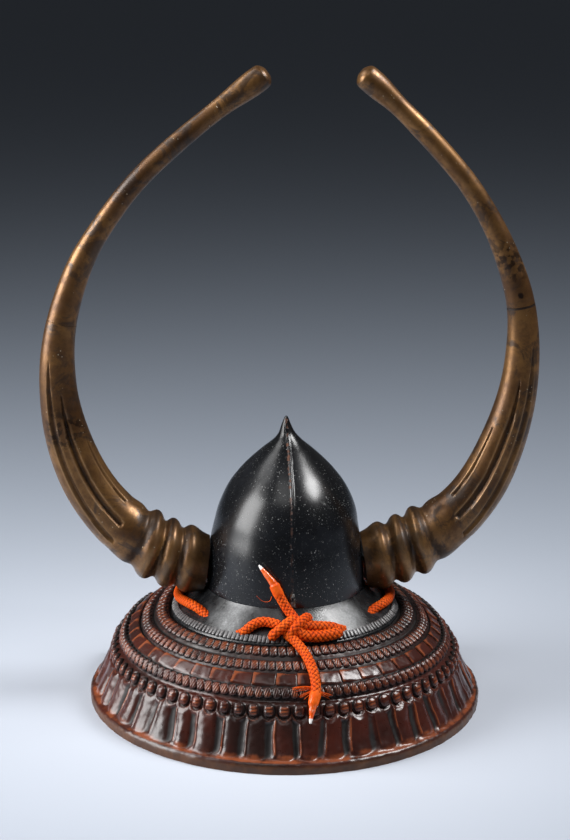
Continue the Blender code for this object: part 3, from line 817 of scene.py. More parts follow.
# %% Frays
THREAD_RADIUS = 0.00042
THREAD_SIDES = 6
THREAD_TAPER = 0.7
THREAD_POINTS = 10
FRAY_SPREAD = 0.0019
LOWER_FRAYS = (
    # from azimuth, reach, height; to azimuth, reach, height; threads; how far they bow up
    ((4.9, 0.2010, 0.0820), (-2.0, 0.1990, 0.0810), 14, 0.0055),
    ((4.9, 0.2025, 0.0800), (-1.0, 0.2045, 0.0705), 6, 0.0045),
    ((5.2, 0.2030, 0.0790), (9.8, 0.2040, 0.0725), 11, 0.0035),
)
LOOSE_THREAD = (
    # azimuth, reach, height
    (-12.4, 0.1085, 0.1560),
    (-13.8, 0.1068, 0.1500),
    (-16.8, 0.1062, 0.1482),
    (-19.6, 0.1064, 0.1502),
    (-22.1, 0.1066, 0.1545),
)
random.seed(11)


def thread(points):
    """One thin thread that tapers to its end."""
    rings = []
    for k, (point, (side, up)) in enumerate(zip(points, frames_along(points))):
        radius = THREAD_RADIUS * (1 - THREAD_TAPER * k / len(points))
        rings.append(round_ring(point, side, up, radius, THREAD_SIDES))
    return rolled("thread", rings)


def tuft(start, end, count, bow):
    """Threads from one place that spread towards another."""
    found = []
    first, last = on_axis(*start), on_axis(*end)
    for _ in range(count):
        spread = Vector([random.gauss(0.0, FRAY_SPREAD) for _ in range(3)])
        near = first + spread * 0.35
        far = first.lerp(last, random.uniform(0.65, 1.05)) + spread
        lifted = near.lerp(far, 0.5) + Vector((0.0, -bow / 2, bow)) * random.uniform(0.4, 1.0)
        shares = (k / (THREAD_POINTS - 1) for k in range(THREAD_POINTS))
        found.append(thread([near.lerp(lifted, t).lerp(lifted.lerp(far, t), t) for t in shares]))
    return found


frays = []
for fray in LOWER_FRAYS:
    frays += tuft(*fray)
frays.append(thread(resampled(route_points(LOOSE_THREAD), 0.001)))
fray_tufts = dress(joined("fray_tufts", frays), ORANGE_SILK, "orange_silk")

# %% Declaring the cords
for tail, points in ((upper_tail, upper_points), (lower_tail, lower_points)):
    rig.cord(
        tail, exit=points[0], length=measured(points)[-1], diameter=CORD_DIAMETER,
        far_end="bare", stiffness="limp", lay="loose", path=points,
    )
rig.cord(
    cord_loop, exit=loop_points[0], length=measured(loop_points)[-1], diameter=CORD_DIAMETER,
    far_end="knot", stiffness="limp", lay="loose", path=loop_points, with_pieces=[knot, fray_tufts],
)

# %% [markdown]
# ## Black lacquer
#
# The bowl is beaten iron under many coats of black lacquer, polished until it mirrors the lights. Age
# shows as fine pale specks, a slightly cloudy gloss, and rust where the lacquer has chipped off the
# ridge. The ridge lies in one upright plane, so its rust is masked by the distance from that plane.

# %% Bowl lacquer
LACQUER_BLACK = (0.0035, 0.0038, 0.0045)
LACQUER_CLOUD = (0.0055, 0.0065, 0.0090)
LACQUER_SPECK = (0.34, 0.34, 0.33)
RUST_BROWN = (0.10, 0.034, 0.014)
SCUFF = (30.0, 0.074, 0.252)
SCUFF_REACH = 0.0042


def black_lacquer():
    bowl = Finish("black_lacquer", Specular_IOR_Level=0.42)
    cloud = bowl.noise(16.0, 6.0).between(0.38, 0.75)
    field = bowl.noise(22.0, 3.0, 0.6).between(0.36, 0.60)
    rough = (bowl.noise(900.0, 2.0) - 0.5) * 0.5
    specks = 1 - (bowl.specks(330.0) + rough).between(0.06, 0.24)
    specks = specks * bowl.noise(120.0, 2.0).between(0.45, 0.57)
    grains = 1 - (bowl.specks(700.0) + rough).between(0.05, 0.24)
    grains = grains * bowl.noise(210.0, 2.0).between(0.48, 0.60)
    pale = ((specks + grains * 0.6) * (0.15 + field * 0.85)).clipped()
    scuff_edge = bowl.away(SCUFF) + (bowl.noise(300.0, 4.0) - 0.5) * 0.008
    scuff = (1 - scuff_edge.between(0.001, SCUFF_REACH)) * 0.7
    off = bowl.maths("ABSOLUTE", bowl.axis("X") - AXIS.x)
    ragged = off + (bowl.noise(300.0, 5.0, 0.65) - 0.5) * 0.0060
    high = bowl.axis("Z").between(0.20, 0.30)
    rust = (1 - ragged.between(0.0004, 0.0020)) * bowl.noise(170.0, 4.0).between(0.47, 0.60)
    rust = rust * (0.2 + high * 0.8)
    skin = cloud.mix(LACQUER_BLACK, LACQUER_CLOUD)
    skin = (pale * 0.75).mix(skin, LACQUER_SPECK)
    skin = scuff.mix(skin, LACQUER_SPECK)
    height = bowl.noise(34.0, 3.0) * 0.5 + pale * 0.2 - rust * 0.8
    return bowl.close(
        Base_Color=rust.mix(skin, RUST_BROWN),
        Roughness=(0.235 + cloud * 0.08 + pale * 0.25 + rust * 0.45).clipped(),
        Normal=bowl.bump(height, 0.0006, 0.35),
    )


BLACK_LACQUER = black_lacquer()
print(BLACK_LACQUER.name)

# %% [markdown]
# ## The bowl
#
# A real bowl of this kind is hammered over a stake until it rises to a point like a peach. Here half of
# its outline is spun once round the axis. The plan isn't quite round, so the halves towards the face
# and the nape are then stretched, the ridge is pulled out along the middle, and the shoulder leans a
# little to the right, as hammered iron may.

# %% Bowl
BOWL_HALF_WIDTH = 0.0934
BOWL_FOOT = 0.124
BOWL_HEIGHT = 0.215
BOWL_WALL = 0.003
BOWL_SPIN_STEPS = 180
RIDGE_RISE = 0.0022
RIDGE_HALF_WIDTH = 0.0024
BOWL_SECTIONS = (
    # height, reach
    (0.000, 1.000),
    (0.060, 0.998),
    (0.180, 0.978),
    (0.300, 0.948),
    (0.400, 0.905),
    (0.495, 0.857),
    (0.600, 0.750),
    (0.685, 0.611),
    (0.750, 0.474),
    (0.812, 0.322),
    (0.862, 0.188),
    (0.905, 0.106),
    (0.950, 0.062),
    (0.992, 0.024),
    (1.000, 0.010),
)
RIDGE_FADE = (
    # height, share of the ridge's rise
    (0.00, 0.35),
    (0.45, 0.40),
    (0.75, 1.00),
)
SHOULDER_LEAN = 0.0018
SHOULDER = (
    # height, share of the lean
    (0.30, 0.0),
    (0.55, 1.0),
    (0.86, 1.0),
    (0.96, 0.0),
)
INSIDE_TOP = 0.78
RIDGE_CUTS = (-1, -0.45, 0.45, 1)
RIDGE_EASE = 0.03


def bowl_profile():
    """The bowl's outline from its tip down to the foot, and up again inside."""
    rows = [(BOWL_HALF_WIDTH * reach, BOWL_FOOT + BOWL_HEIGHT * height)
            for height, reach in smooth_path(BOWL_SECTIONS, 5)]
    inside = [(reach - BOWL_WALL * (1 + share), height) for reach, height, share in
              ((r, z, (z - BOWL_FOOT) / BOWL_HEIGHT) for r, z in rows[::3]) if share < INSIDE_TOP]
    top = (0.0, rows[-1][1] + 0.0003)
    return [top, *rows[::-1], *inside, (0.0, inside[-1][1] + BOWL_WALL)]


def turned(name, profile, steps):
    """A profile of (reach, height) points, spun round the bowl's axis."""
    deselect_all()
    bpy.ops.mesh.primitive_circle_add(vertices=len(profile))
    piece = bpy.context.object
    piece.name = piece.data.name = name
    bpy.ops.object.mode_set(mode="EDIT")
    shape = bmesh.from_edit_mesh(piece.data)
    shape.verts.ensure_lookup_table()
    for vertex, (reach, height) in zip(shape.verts, profile):
        vertex.co = AXIS + Vector((reach, 0.0, height))
    shape.edges.remove(shape.edges.get((shape.verts[0], shape.verts[-1])))
    bmesh.update_edit_mesh(piece.data)
    bpy.ops.mesh.select_all(action="SELECT")
    bpy.ops.mesh.spin(steps=steps, angle=2 * math.pi, center=AXIS, axis=(0, 0, 1))
    bpy.ops.object.mode_set(mode="OBJECT")
    return piece


def select_points(test):
    """In edit mode, selects the points that pass a test."""
    bpy.ops.mesh.select_mode(type="VERT")
    bpy.ops.mesh.select_all(action="DESELECT")
    shape = bmesh.from_edit_mesh(bpy.context.object.data)
    for vertex in shape.verts:
        vertex.select = test(vertex.co)
    shape.select_flush(True)
    bmesh.update_edit_mesh(bpy.context.object.data)


def add_bowl():
    piece = turned("lacquered_bowl", bowl_profile(), BOWL_SPIN_STEPS)
    close_up(piece)
    bpy.ops.object.mode_set(mode="EDIT")
    for reach, half in ((BOWL_BACK_REACH, lambda y: y < AXIS.y), (BOWL_FACE_REACH, lambda y: y > AXIS.y)):
        select_points(lambda place: half(place.y))
        bpy.ops.transform.resize(value=(1, reach / BOWL_HALF_WIDTH, 1), center_override=AXIS)
    for side in RIDGE_CUTS:
        bpy.ops.mesh.select_all(action="SELECT")
        cut_at = AXIS + Vector((side * RIDGE_HALF_WIDTH, 0, 0))
        bpy.ops.mesh.bisect(plane_co=cut_at, plane_no=(1, 0, 0))
    bpy.ops.object.mode_set(mode="OBJECT")
    for vertex in piece.data.vertices:
        away = vertex.co - AXIS
        share = (away.z - BOWL_FOOT) / BOWL_HEIGHT
        outer = BOWL_HALF_WIDTH * read_table(BOWL_SECTIONS, share, 1)
        off = abs(away.x) / RIDGE_HALF_WIDTH
        if off < 1 and abs(away.y) > outer and share < 0.999:
            rise = RIDGE_RISE * (1 - off ** 1.5) * min(1.0, abs(away.y) / RIDGE_EASE)
            vertex.co.y += math.copysign(rise * read_table(RIDGE_FADE, share, 1), away.y)
        vertex.co.x += SHOULDER_LEAN * read_table(SHOULDER, share, 1)
    bpy.ops.object.shade_smooth_by_angle(angle=math.radians(50))
    return dress(piece, BLACK_LACQUER, "black_lacquer", "bowl")


add_bowl()

# %% [markdown]
# ## The flange
#
# The bowl stands in a flange that slopes out all round like the brim of a bell. It is lacquered black
# too, but hands and storage have rubbed it dull. On the slopes beside the knot it is painted a pale haze,
# partly that rubbed dullness and partly a painted reflection of the lights. Its outer band carries short
# raised ribs, side by side like the teeth of a comb, and their gaps and feet are painted near black as
# painted shade.

# %% Flange finish
FLANGE_BLACK = (0.007, 0.0075, 0.0085)
FLANGE_GREY = (0.026, 0.027, 0.029)
FLANGE_HAZE_AND_SHEEN = (0.42, 0.43, 0.435)
RIB_WORN = (0.15, 0.14, 0.14)
RIB_GAP_SHADE = (0.004, 0.004, 0.004)
HAZE_AND_SHEEN_SPOTS = ((-38.0, 0.119, 0.127), (33.0, 0.119, 0.127))
HAZE_AND_SHEEN_REACH = 0.034
HAZE_AND_SHEEN_WARP = 0.040


def worn_lacquer():
    rubbed = Finish("worn_black_lacquer", Coat_Roughness=0.3)
    warp = rubbed.noise(30.0, 5.0, 0.6)
    # Painted reflection with dull haze: pale patches on the slopes beside the knot, where the lights reflect.
    nearest = rubbed.maths("MINIMUM", *(rubbed.away(spot) for spot in HAZE_AND_SHEEN_SPOTS))
    haze_and_sheen = 1 - (nearest + (warp - 0.5) * HAZE_AND_SHEEN_WARP).between(HAZE_AND_SHEEN_REACH * 0.1, HAZE_AND_SHEEN_REACH)
    dust = rubbed.noise(55.0, 6.0, 0.65).between(0.42, 0.75)
    fine = rubbed.noise(420.0, 4.0, 0.6).between(0.35, 0.7)
    haze_and_sheen = (haze_and_sheen * (0.55 + 0.45 * fine) * (0.5 + dust * 0.5)).clipped()
    worn = rubbed.mark("worn")
    hollow = rubbed.mark("hollow")
    skin = dust.mix(FLANGE_BLACK, FLANGE_GREY)
    skin = (worn * (0.35 + fine * 0.5)).clipped().mix(skin, RIB_WORN)
    skin = haze_and_sheen.mix(skin, FLANGE_HAZE_AND_SHEEN)
    # Painted shade: the gaps and feet of the ribs go near black.
    skin = hollow.between(0.3, 0.9).mix(skin, RIB_GAP_SHADE)
    return rubbed.close(
        Base_Color=skin,
        Roughness=(0.25 + dust * 0.13 + haze_and_sheen * 0.22).clipped(),
        Normal=rubbed.bump(rubbed.noise(70.0, 5.0, 0.6) + fine * 0.2, 0.0008, 0.35),
    )


WORN_BLACK = worn_lacquer()
print(WORN_BLACK.name)

# %% Flange sizes
GAP = 0.0003
FLANGE_HALF_WIDTH = 0.1345
FLANGE_TOP = 0.1355
FLANGE_DROP = 0.031
FLANGE_WALL = 0.003
FLANGE_LIP = 0.0025
FLANGE_SAG = 0.0016
RIB_BAND = 0.0105
PEAK_REACH = 0.018
PEAK_SPREAD = 53.0
BACK_LIFT = 0.0045
BACK_STRETCH = 1.015
FLANGE_FACE = BOWL_FACE_REACH + FLANGE_HALF_WIDTH - BOWL_HALF_WIDTH
FLANGE_STEPS = 180
SLOPE_STEPS = 14


def around(azimuth, side, back, face):
    """The point of a plan oval about the axis: half an ellipse behind it and half an ellipse before it."""
    turn = math.radians(azimuth)
    forward = -math.cos(turn)
    return Vector((side * math.sin(turn), forward * (face if forward > 0 else back), 0.0))


def lift(azimuth):
    """The helmet's lower plates stand a little higher at the back than at the face."""
    return BACK_LIFT * math.cos(math.radians(azimuth))


def flange_edge(azimuth):
    """The flange's outer edge, on top, measured from the axis."""
    point = around(azimuth, FLANGE_HALF_WIDTH, FLANGE_HALF_WIDTH * BACK_STRETCH, FLANGE_FACE)
    off = abs(abs(azimuth) - 180)
    if off < PEAK_SPREAD:
        reach = PEAK_REACH * math.cos(math.radians(90 * off / PEAK_SPREAD)) ** 2
        point = point * ((point.length + reach) / point.length)
    point.z = FLANGE_TOP - FLANGE_DROP + lift(azimuth)
    return point


def flange_slope(azimuth):
    """Where the flange's slope starts at the bowl, where its ribbed band starts, and where it ends."""
    foot = around(azimuth, BOWL_HALF_WIDTH, BOWL_BACK_REACH, BOWL_FACE_REACH)
    foot = foot * ((foot.length + GAP) / foot.length)
    foot.z = FLANGE_TOP + lift(azimuth)
    edge = flange_edge(azimuth)
    return foot, edge.lerp(foot, RIB_BAND / (FLANGE_HALF_WIDTH - BOWL_HALF_WIDTH)), edge


def flange_section(azimuth):
    foot, band, edge = flange_slope(azimuth)
    down = Vector((0.0, 0.0, -1.0))
    out = Vector((edge.x, edge.y, 0.0)).normalized()
    section = []
    for k in range(SLOPE_STEPS + 1):
        share = k / SLOPE_STEPS
        section.append(foot.lerp(band, share) + down * (FLANGE_SAG * math.sin(math.pi * share ** 0.7)))
    section += [band.lerp(edge, share) for share in (0.33, 0.66, 1.0)]
    section += [edge + down * (FLANGE_WALL * share) + out * (0.0006 * bulge)
                for share, bulge in ((0.3, 1.0), (0.7, 1.0), (1.0, 0.0))]
    collar = foot + out * FLANGE_WALL + down * (FLANGE_WALL * 1.6)
    section += [section[-1].lerp(collar, k / 6) for k in range(1, 7)]
    lip = BOWL_FOOT - GAP
    low = lip - FLANGE_LIP
    for extra, height in ((FLANGE_WALL, low), (-BOWL_WALL, low), (-BOWL_WALL, lip), (0, lip)):
        point = foot + out * extra
        point.z = height
        section.append(point)
    return [AXIS + point for point in section]


# %% [markdown]
# The cord runs through four holes in the flange. They are cut along the cord's own way: a tube is
# taken out of the plate with a Boolean. It is a hair thinner than the cord, so that no light shows
# round the braid.

# %% Flange with its cord holes
CORD_HOLES = (
    # first azimuth, last azimuth, how far the cutter goes on
    (-15.5, -38.0, 0.0),
    (-46.0, -72.0, 0.0),
    (-288.0, -315.0, 0.0),
    (-322.0, -338.5, 0.009),
)
HOLE_TIGHTER = 0.0006
HOLE_SIDES = 24


def hole_cutter(first, last, beyond):
    """A tube along one stretch of the loop."""
    stretch = [on_axis(*row) for row in smooth_path(LOOP_ROUTE) if last <= row[0] <= first]
    heading = (stretch[-1] - stretch[-2]).normalized()
    stretch = resampled([*stretch, stretch[-1] + heading * max(beyond, 0.001)], 0.002)
    radius = CORD_DIAMETER / 2 - HOLE_TIGHTER
    rings = [round_ring(point, side, up, radius, HOLE_SIDES)
             for point, (side, up) in zip(stretch, frames_along(stretch))]
    return rolled("hole_cutter", rings)


def cut_away(piece, cutter):
    take(piece)
    boolean = piece.modifiers.new("hole", "BOOLEAN")
    boolean.object = cutter
    boolean.solver = "EXACT"
    bpy.ops.object.modifier_apply(modifier=boolean.name)
    bpy.data.objects.remove(cutter, do_unlink=True)


def add_flange():
    rings = [flange_section(360 * k / FLANGE_STEPS - 180) for k in range(FLANGE_STEPS + 1)]
    piece = rolled("sloping_flange", rings)
    for hole in CORD_HOLES:
        cut_away(piece, hole_cutter(*hole))
    take(piece)
    bpy.ops.object.shade_smooth_by_angle(angle=math.radians(35))
    return dress(piece, WORN_BLACK, "worn_black_lacquer", "base_flange")


add_flange()

# %% [markdown]
# One rib is modelled from a cube: scaled to a short bar, its edges bevelled, its foot sunk into the
# band. Copies go round the flange, each a little different in size and lean as carved ones are.

# %% Ribs
RIB_PITCH = 2.3
RIB_WIDTH = 0.0046
RIB_LENGTH = 0.0094
RIB_HEIGHT = 0.0052
RIB_BEVEL = 0.0014
RIB_PLACE = 0.52
RIB_SHADE = 0.75
RIB_SHADE_FALL = 900
RIB_WEAR_RISE = 480
RIB_JITTER = 0.15
RIB_SWING = 0.06
RIB_SPANS = ((0.9, 1.08), (0.95, 1.05), (0.85, 1.1))


def one_rib():
    deselect_all()
    bpy.ops.mesh.primitive_cube_add(size=1.0)
    piece = bpy.context.object
    piece.name = "rib"
    bpy.ops.object.mode_set(mode="EDIT")
    bpy.ops.transform.resize(value=(RIB_WIDTH, RIB_LENGTH, RIB_HEIGHT))
    bpy.ops.mesh.bevel(offset=RIB_BEVEL, segments=3, affect="EDGES")
    bpy.ops.object.mode_set(mode="OBJECT")
    heights = [vertex.co.z for vertex in piece.data.vertices]
    store(piece, "hollow", [max(0.0, RIB_SHADE - height * RIB_SHADE_FALL) for height in heights])
    store(piece, "worn", [max(0.0, height * RIB_WEAR_RISE) for height in heights])
    bpy.ops.object.shade_smooth()
    return piece


def frame_at(point, right, up):
    """The matrix that sets a model at a point, with its X to the right and its Y up the surface."""
    out = right.cross(up).normalized()
    up = out.cross(right.normalized())
    matrix = Matrix((right.normalized(), up, out)).transposed().to_4x4()
    matrix.translation = point
    return matrix


def copied(name, model, frames):
    """Copies of a model, each with its own mesh, at every frame, joined into one row."""
    parts = []
    for frame_matrix in frames:
        part = model.copy()
        part.data = model.data.copy()
        part.data.transform(frame_matrix)
        bpy.context.scene.collection.objects.link(part)
        parts.append(part)
    bpy.data.objects.remove(model, do_unlink=True)
    return joined(name, parts)


def uneven(angle, spans):
    """A turn about the model's own upright axis, and a random size within the spans."""
    size = [random.uniform(low, high) for low, high in spans]
    return Matrix.Rotation(angle, 4, "Z") @ Matrix.Diagonal((*size, 1))


def rib_frames():
    count = round(360 / RIB_PITCH)
    for k in range(count):
        azimuth = 360 * k / count - 180 + random.uniform(-RIB_JITTER, RIB_JITTER)
        foot, band, edge = flange_slope(azimuth)
        ahead = flange_slope(azimuth + 0.5)[2]
        matrix = frame_at(AXIS + band.lerp(edge, RIB_PLACE), ahead - edge, foot - edge)
        yield matrix @ uneven(random.uniform(-RIB_SWING, RIB_SWING), RIB_SPANS)


dress(copied("flange_ribs", one_rib(), rib_frames()), WORN_BLACK, "worn_black_lacquer")

# %% [markdown]
# ## Red-brown lacquer
#
# The neck guard is one moulded shell under red lacquer that has gone brown. Hands have worn the raised
# edges back to orange. The hollows, the gaps between plates and the ledge under the flange are painted
# near black, partly grime and partly painted shade. The meshes carry two marks, `hollow` and `worn`,
# and the material breaks them up with noise so that no edge is even.

# %% Guard lacquer
GUARD_RED = (0.056, 0.0095, 0.0045)
GUARD_BROWN = (0.017, 0.0058, 0.0042)
GUARD_ORANGE = (0.24, 0.060, 0.020)
GUARD_GRIME_AND_SHADE = (0.006, 0.0035, 0.003)
RIM_BROWN = (0.105, 0.040, 0.014)
RIM_TOP = 0.0095


def guard_lacquer():
    guard = Finish("red_brown_lacquer", Coat_Roughness=0.22, Specular_IOR_Level=0.4)
    hollow = guard.mark("hollow")
    worn = guard.mark("worn")
    broad = guard.noise(11.0, 4.0).between(0.35, 0.68)
    fine = guard.noise(160.0, 5.0, 0.6)
    patchy = guard.noise(48.0, 4.0).between(0.3, 0.62)
    skin = broad.mix(GUARD_BROWN, GUARD_RED)
    rubbed = (worn * (0.45 + patchy * 0.9) + (fine - 0.5) * 0.35).between(0.22, 0.95)
    skin = (rubbed * 0.85).mix(skin, GUARD_ORANGE)
    # Grime and painted shade: the hollows go near black.
    grime = (hollow + (fine - 0.5) * 0.4).between(0.35, 0.85)
    skin = grime.mix(skin, GUARD_GRIME_AND_SHADE)
    rim = 1 - (guard.axis("Z") + (fine - 0.5) * 0.006).between(RIM_TOP * 0.75, RIM_TOP * 1.15)
    rim_tone = (patchy * 0.55).mix(RIM_BROWN, GUARD_BROWN)
    skin = (rim * 0.9).mix(skin, rim_tone)
    height = guard.noise(90.0, 4.0) * 0.7 + fine * 0.3
    return guard.close(
        Base_Color=skin,
        Roughness=(0.30 + grime * 0.28 + (fine - 0.5) * 0.2 + rim * 0.15).clipped(),
        Coat_Weight=(0.16 - grime * 0.16 - rim * 0.1).clipped(),
        Normal=guard.bump(height, 0.0008, 0.35),
    )


RED_LACQUER = guard_lacquer()
print(RED_LACQUER.name)

# %% [markdown]
# ## The moulded neck guard
#
# The shell's section is a table of rows, from the groove under the flange to the rim. At every step
# round the helmet the section is laid out, and its outer face is pushed in and out by the relief: the
# row of plain plates, and the tall fluted plates whose tops curve round the ovals above them.

# %% Guard sizes
GUARD_HALF_WIDTH = 0.2315
GUARD_BACK_REACH = 0.243
GUARD_HEIGHT = 0.1108
GUARD_SPREAD = 125.0
GUARD_END_LIFT = 0.0085
GUARD_END_START = 84.0
GUARD_LEDGE = 0.004
LEDGE_GAP = 0.0008
LEDGE_SLOPE = 0.9
GUARD_WALL = 0.0055
GUARD_STEP = 0.0016
PLATE_COUNT = 32
PLATE_COLUMNS = (0.0, 0.02, 0.045, 0.075, 0.11, 0.15, 0.19, 0.23, 0.27, 0.31, 0.35, 0.39, 0.43, 0.47,
                 0.51, 0.55, 0.59, 0.63, 0.67, 0.71, 0.75, 0.79, 0.83, 0.87, 0.91, 0.945, 0.975)
GUARD_ROWS = (
    # reach, height, lift
    (0.592, 0.912, 1.0),
    (0.606, 0.938, 1.0),
    (0.632, 0.912, 1.0),
    (0.658, 0.878, 1.0),
    (0.671, 0.846, 1.0),
    (0.686, 0.860, 1.0),
    (0.710, 0.826, 1.0),
    (0.731, 0.792, 1.0),
    (0.742, 0.762, 1.0),
    (0.753, 0.782, 1.0),
    (0.796, 0.714, 1.0),
    (0.803, 0.684, 1.0),
    (0.818, 0.678, 1.0),
    (0.834, 0.636, 1.0),
    (0.840, 0.582, 1.0),
    (0.846, 0.564, 1.0),
    (0.864, 0.552, 1.0),
    (0.876, 0.508, 1.0),
    (0.882, 0.456, 1.0),
    (0.898, 0.420, 0.9),
    (0.932, 0.255, 0.8),
    (0.968, 0.118, 0.4),
    (0.990, 0.098, 0.2),
    (1.000, 0.070, 0.0),
    (1.000, 0.000, 0.0),
)
GUARD_INSIDE = (
    # reach, height, lift
    (0.955, 0.000, 0.0),
    (0.925, 0.120, 0.3),
    (0.852, 0.400, 1.0),
    (0.805, 0.560, 1.0),
    (0.745, 0.690, 1.0),
    (0.660, 0.795, 1.0),
    (0.600, 0.848, 1.0),
)
PLAIN_PLATES = (9.0, 10.2)
OVAL_ROW = 17.15
TALL_PLATES = 18.0
RIM_ROW = 21.6
GROOVE_ROWS = (0.0, 4.0, 8.0, 11.0)


def guard_lift(azimuth):
    """The guard's rows follow the flange at the back, and rise again towards their two ends."""
    share = (abs(azimuth) - GUARD_END_START) / (GUARD_SPREAD - GUARD_END_START)
    share = min(1.0, max(0.0, share))
    return lift(azimuth) + GUARD_END_LIFT * share ** 2 * (3 - 2 * share)


def guard_point(azimuth, reach, height, lift_share):
    """A point of the guard, measured from the axis, from its shares of the half width and the height."""
    side = GUARD_HALF_WIDTH * reach
    share = min(1.0, height)
    back = 1 + (GUARD_BACK_REACH / GUARD_HALF_WIDTH - 1) * (1 - share) + (BACK_STRETCH - 1) * share
    face = 1 + (FLANGE_FACE / FLANGE_HALF_WIDTH - 1) * share
    point = around(azimuth, side, side * back, side * face)
    point.z = GUARD_HEIGHT * height + guard_lift(azimuth) * lift_share
    return point


def profile_rows():
    """The outer profile at even steps: reach, height, lift, place in the table, length run."""
    rows = smooth_path([(*row, float(k)) for k, row in enumerate(GUARD_ROWS)], 12)
    line = [Vector((reach * GUARD_HALF_WIDTH, height * GUARD_HEIGHT, 0.0)) for reach, height, _, _ in rows]
    run = measured(line)
    count = round(run[-1] / GUARD_STEP)
    found, k = [], 0
    for i in range(count + 1):
        goal = run[-1] * i / count
        while k < len(run) - 2 and run[k + 1] < goal:
            k += 1
        share = (goal - run[k]) / (run[k + 1] - run[k])
        found.append((*(a + (b - a) * share for a, b in zip(rows[k], rows[k + 1])), goal))
    return found


PROFILE = profile_rows()


def run_at(place):
    """The length run along the profile at a place in the table of rows."""
    for low, high in zip(PROFILE, PROFILE[1:]):
        if high[3] >= place:
            return low[4] + (high[4] - low[4]) * (place - low[3]) / (high[3] - low[3])
    return PROFILE[-1][4]


print(len(PROFILE), "rows over", round(PROFILE[-1][4] * 1000, 1), "mm")

# %% [markdown]
# The relief is a function of two lengths: how far round a plate, and how far down the section. It
# returns how far the face stands out, and the two marks. Smooth steps and bell curves build it up.

# %% Relief of the plates
OVAL_PITCH = 4.7
OVAL_WIDTH = 0.0124
OVAL_LENGTH = 0.0150
OVAL_COUNT = round(2 * GUARD_SPREAD / OVAL_PITCH)
OVAL_SPACING = 2 * GUARD_SPREAD / OVAL_COUNT
OVAL_RING = (1.08, 0.10)
OVAL_RING_DEPTH = 0.0012
OVAL_LIP = (1.42, 0.13)
OVAL_LIP_RISE = 0.0007
PLAIN_RISE = 0.0016
PLAIN_SINK = 0.0004
PLAIN_GAP_DEPTH = 0.0008
TALL_EDGE_WIDTH = 0.045
TALL_EDGE_RISE = 0.0011
TALL_BODY_SHARE = 0.6
TALL_BODY_RISE = 0.0017
TALL_HOLLOW_DEPTH = 0.0020
TALL_FOOT_LENGTH = 0.012
PAD_BANDS = ((0.4, 3.6), (4.4, 7.6), (11.3, 14.2))
WANDER_ROUND = 0.11
WANDER_DOWN = 26.0
DENTS = ((70.0, 0.0007), (190.0, 0.0003))


def smooth_step(low, high, value):
    share = min(1.0, max(0.0, (value - low) / (high - low)))
    return share * share * (3 - 2 * share)


def bell(value, width):
    return math.exp(-(value / width) ** 2)


def plate_share(azimuth):
    """How far round its plate an azimuth lies, from 0 at the plate's left edge to 1."""
    return (azimuth + GUARD_SPREAD) / (2 * GUARD_SPREAD / PLATE_COUNT) % 1.0


def wander(azimuth, run, seed):
    """A slow waver between about -0.5 and 0.5 that keeps the moulded lines from being ruled."""
    return noise.noise(Vector((azimuth * WANDER_ROUND, run * WANDER_DOWN, seed)))


def oval_nearness(azimuth, run, reach):
    """How far a point is from the nearest oval's middle, in shares of the oval's size."""
    off = ((azimuth + GUARD_SPREAD) / OVAL_SPACING % 1.0 - 0.5) * OVAL_SPACING
    across = math.radians(off) * reach * GUARD_HALF_WIDTH / (OVAL_WIDTH / 2)
    down = (run - OVAL_RUN) / (OVAL_LENGTH / 2)
    return math.hypot(across, down), down


OVAL_RUN = run_at(OVAL_ROW)
PLATE_RUN = run_at(TALL_PLATES)
RIM_RUN = run_at(RIM_ROW)


def plain_plate(share, down):
    """The row of plain overlapping plates, whose left and upper edges stand proud and are worn."""
    out = PLAIN_RISE * (1 - share) ** 1.3 - PLAIN_SINK
    edge = bell(share, 0.16) * 0.9 + bell(down, 0.22) * (1 - share) * 0.9
    # The gaps between the plates are marked hollow, and the lacquer paints them near black: painted shade.
    gap = bell(min(share, 1 - share) if share > 0.5 else 1.0, 0.035)
    return out - gap * PLAIN_GAP_DEPTH, gap, edge


def tall_plate(share, foot):
    """The fluted plates: a thin raised edge, a rounded body, then a hollow up to the next edge."""
    edge = bell(min(share, 1 - share), TALL_EDGE_WIDTH)
    body = math.sin(math.pi * min(1.0, share / TALL_BODY_SHARE))
    # The hollow beside each body is marked for the lacquer's grime and painted shade.
    hollow = math.sin(math.pi * max(0.0, (share - TALL_BODY_SHARE) / (1 - TALL_BODY_SHARE)))
    out = TALL_EDGE_RISE * edge + TALL_BODY_RISE * body - TALL_HOLLOW_DEPTH * hollow
    worn = max(edge * 0.62, body * 0.15, foot * 0.8)
    return out, hollow * (1 - 0.4 * foot), worn


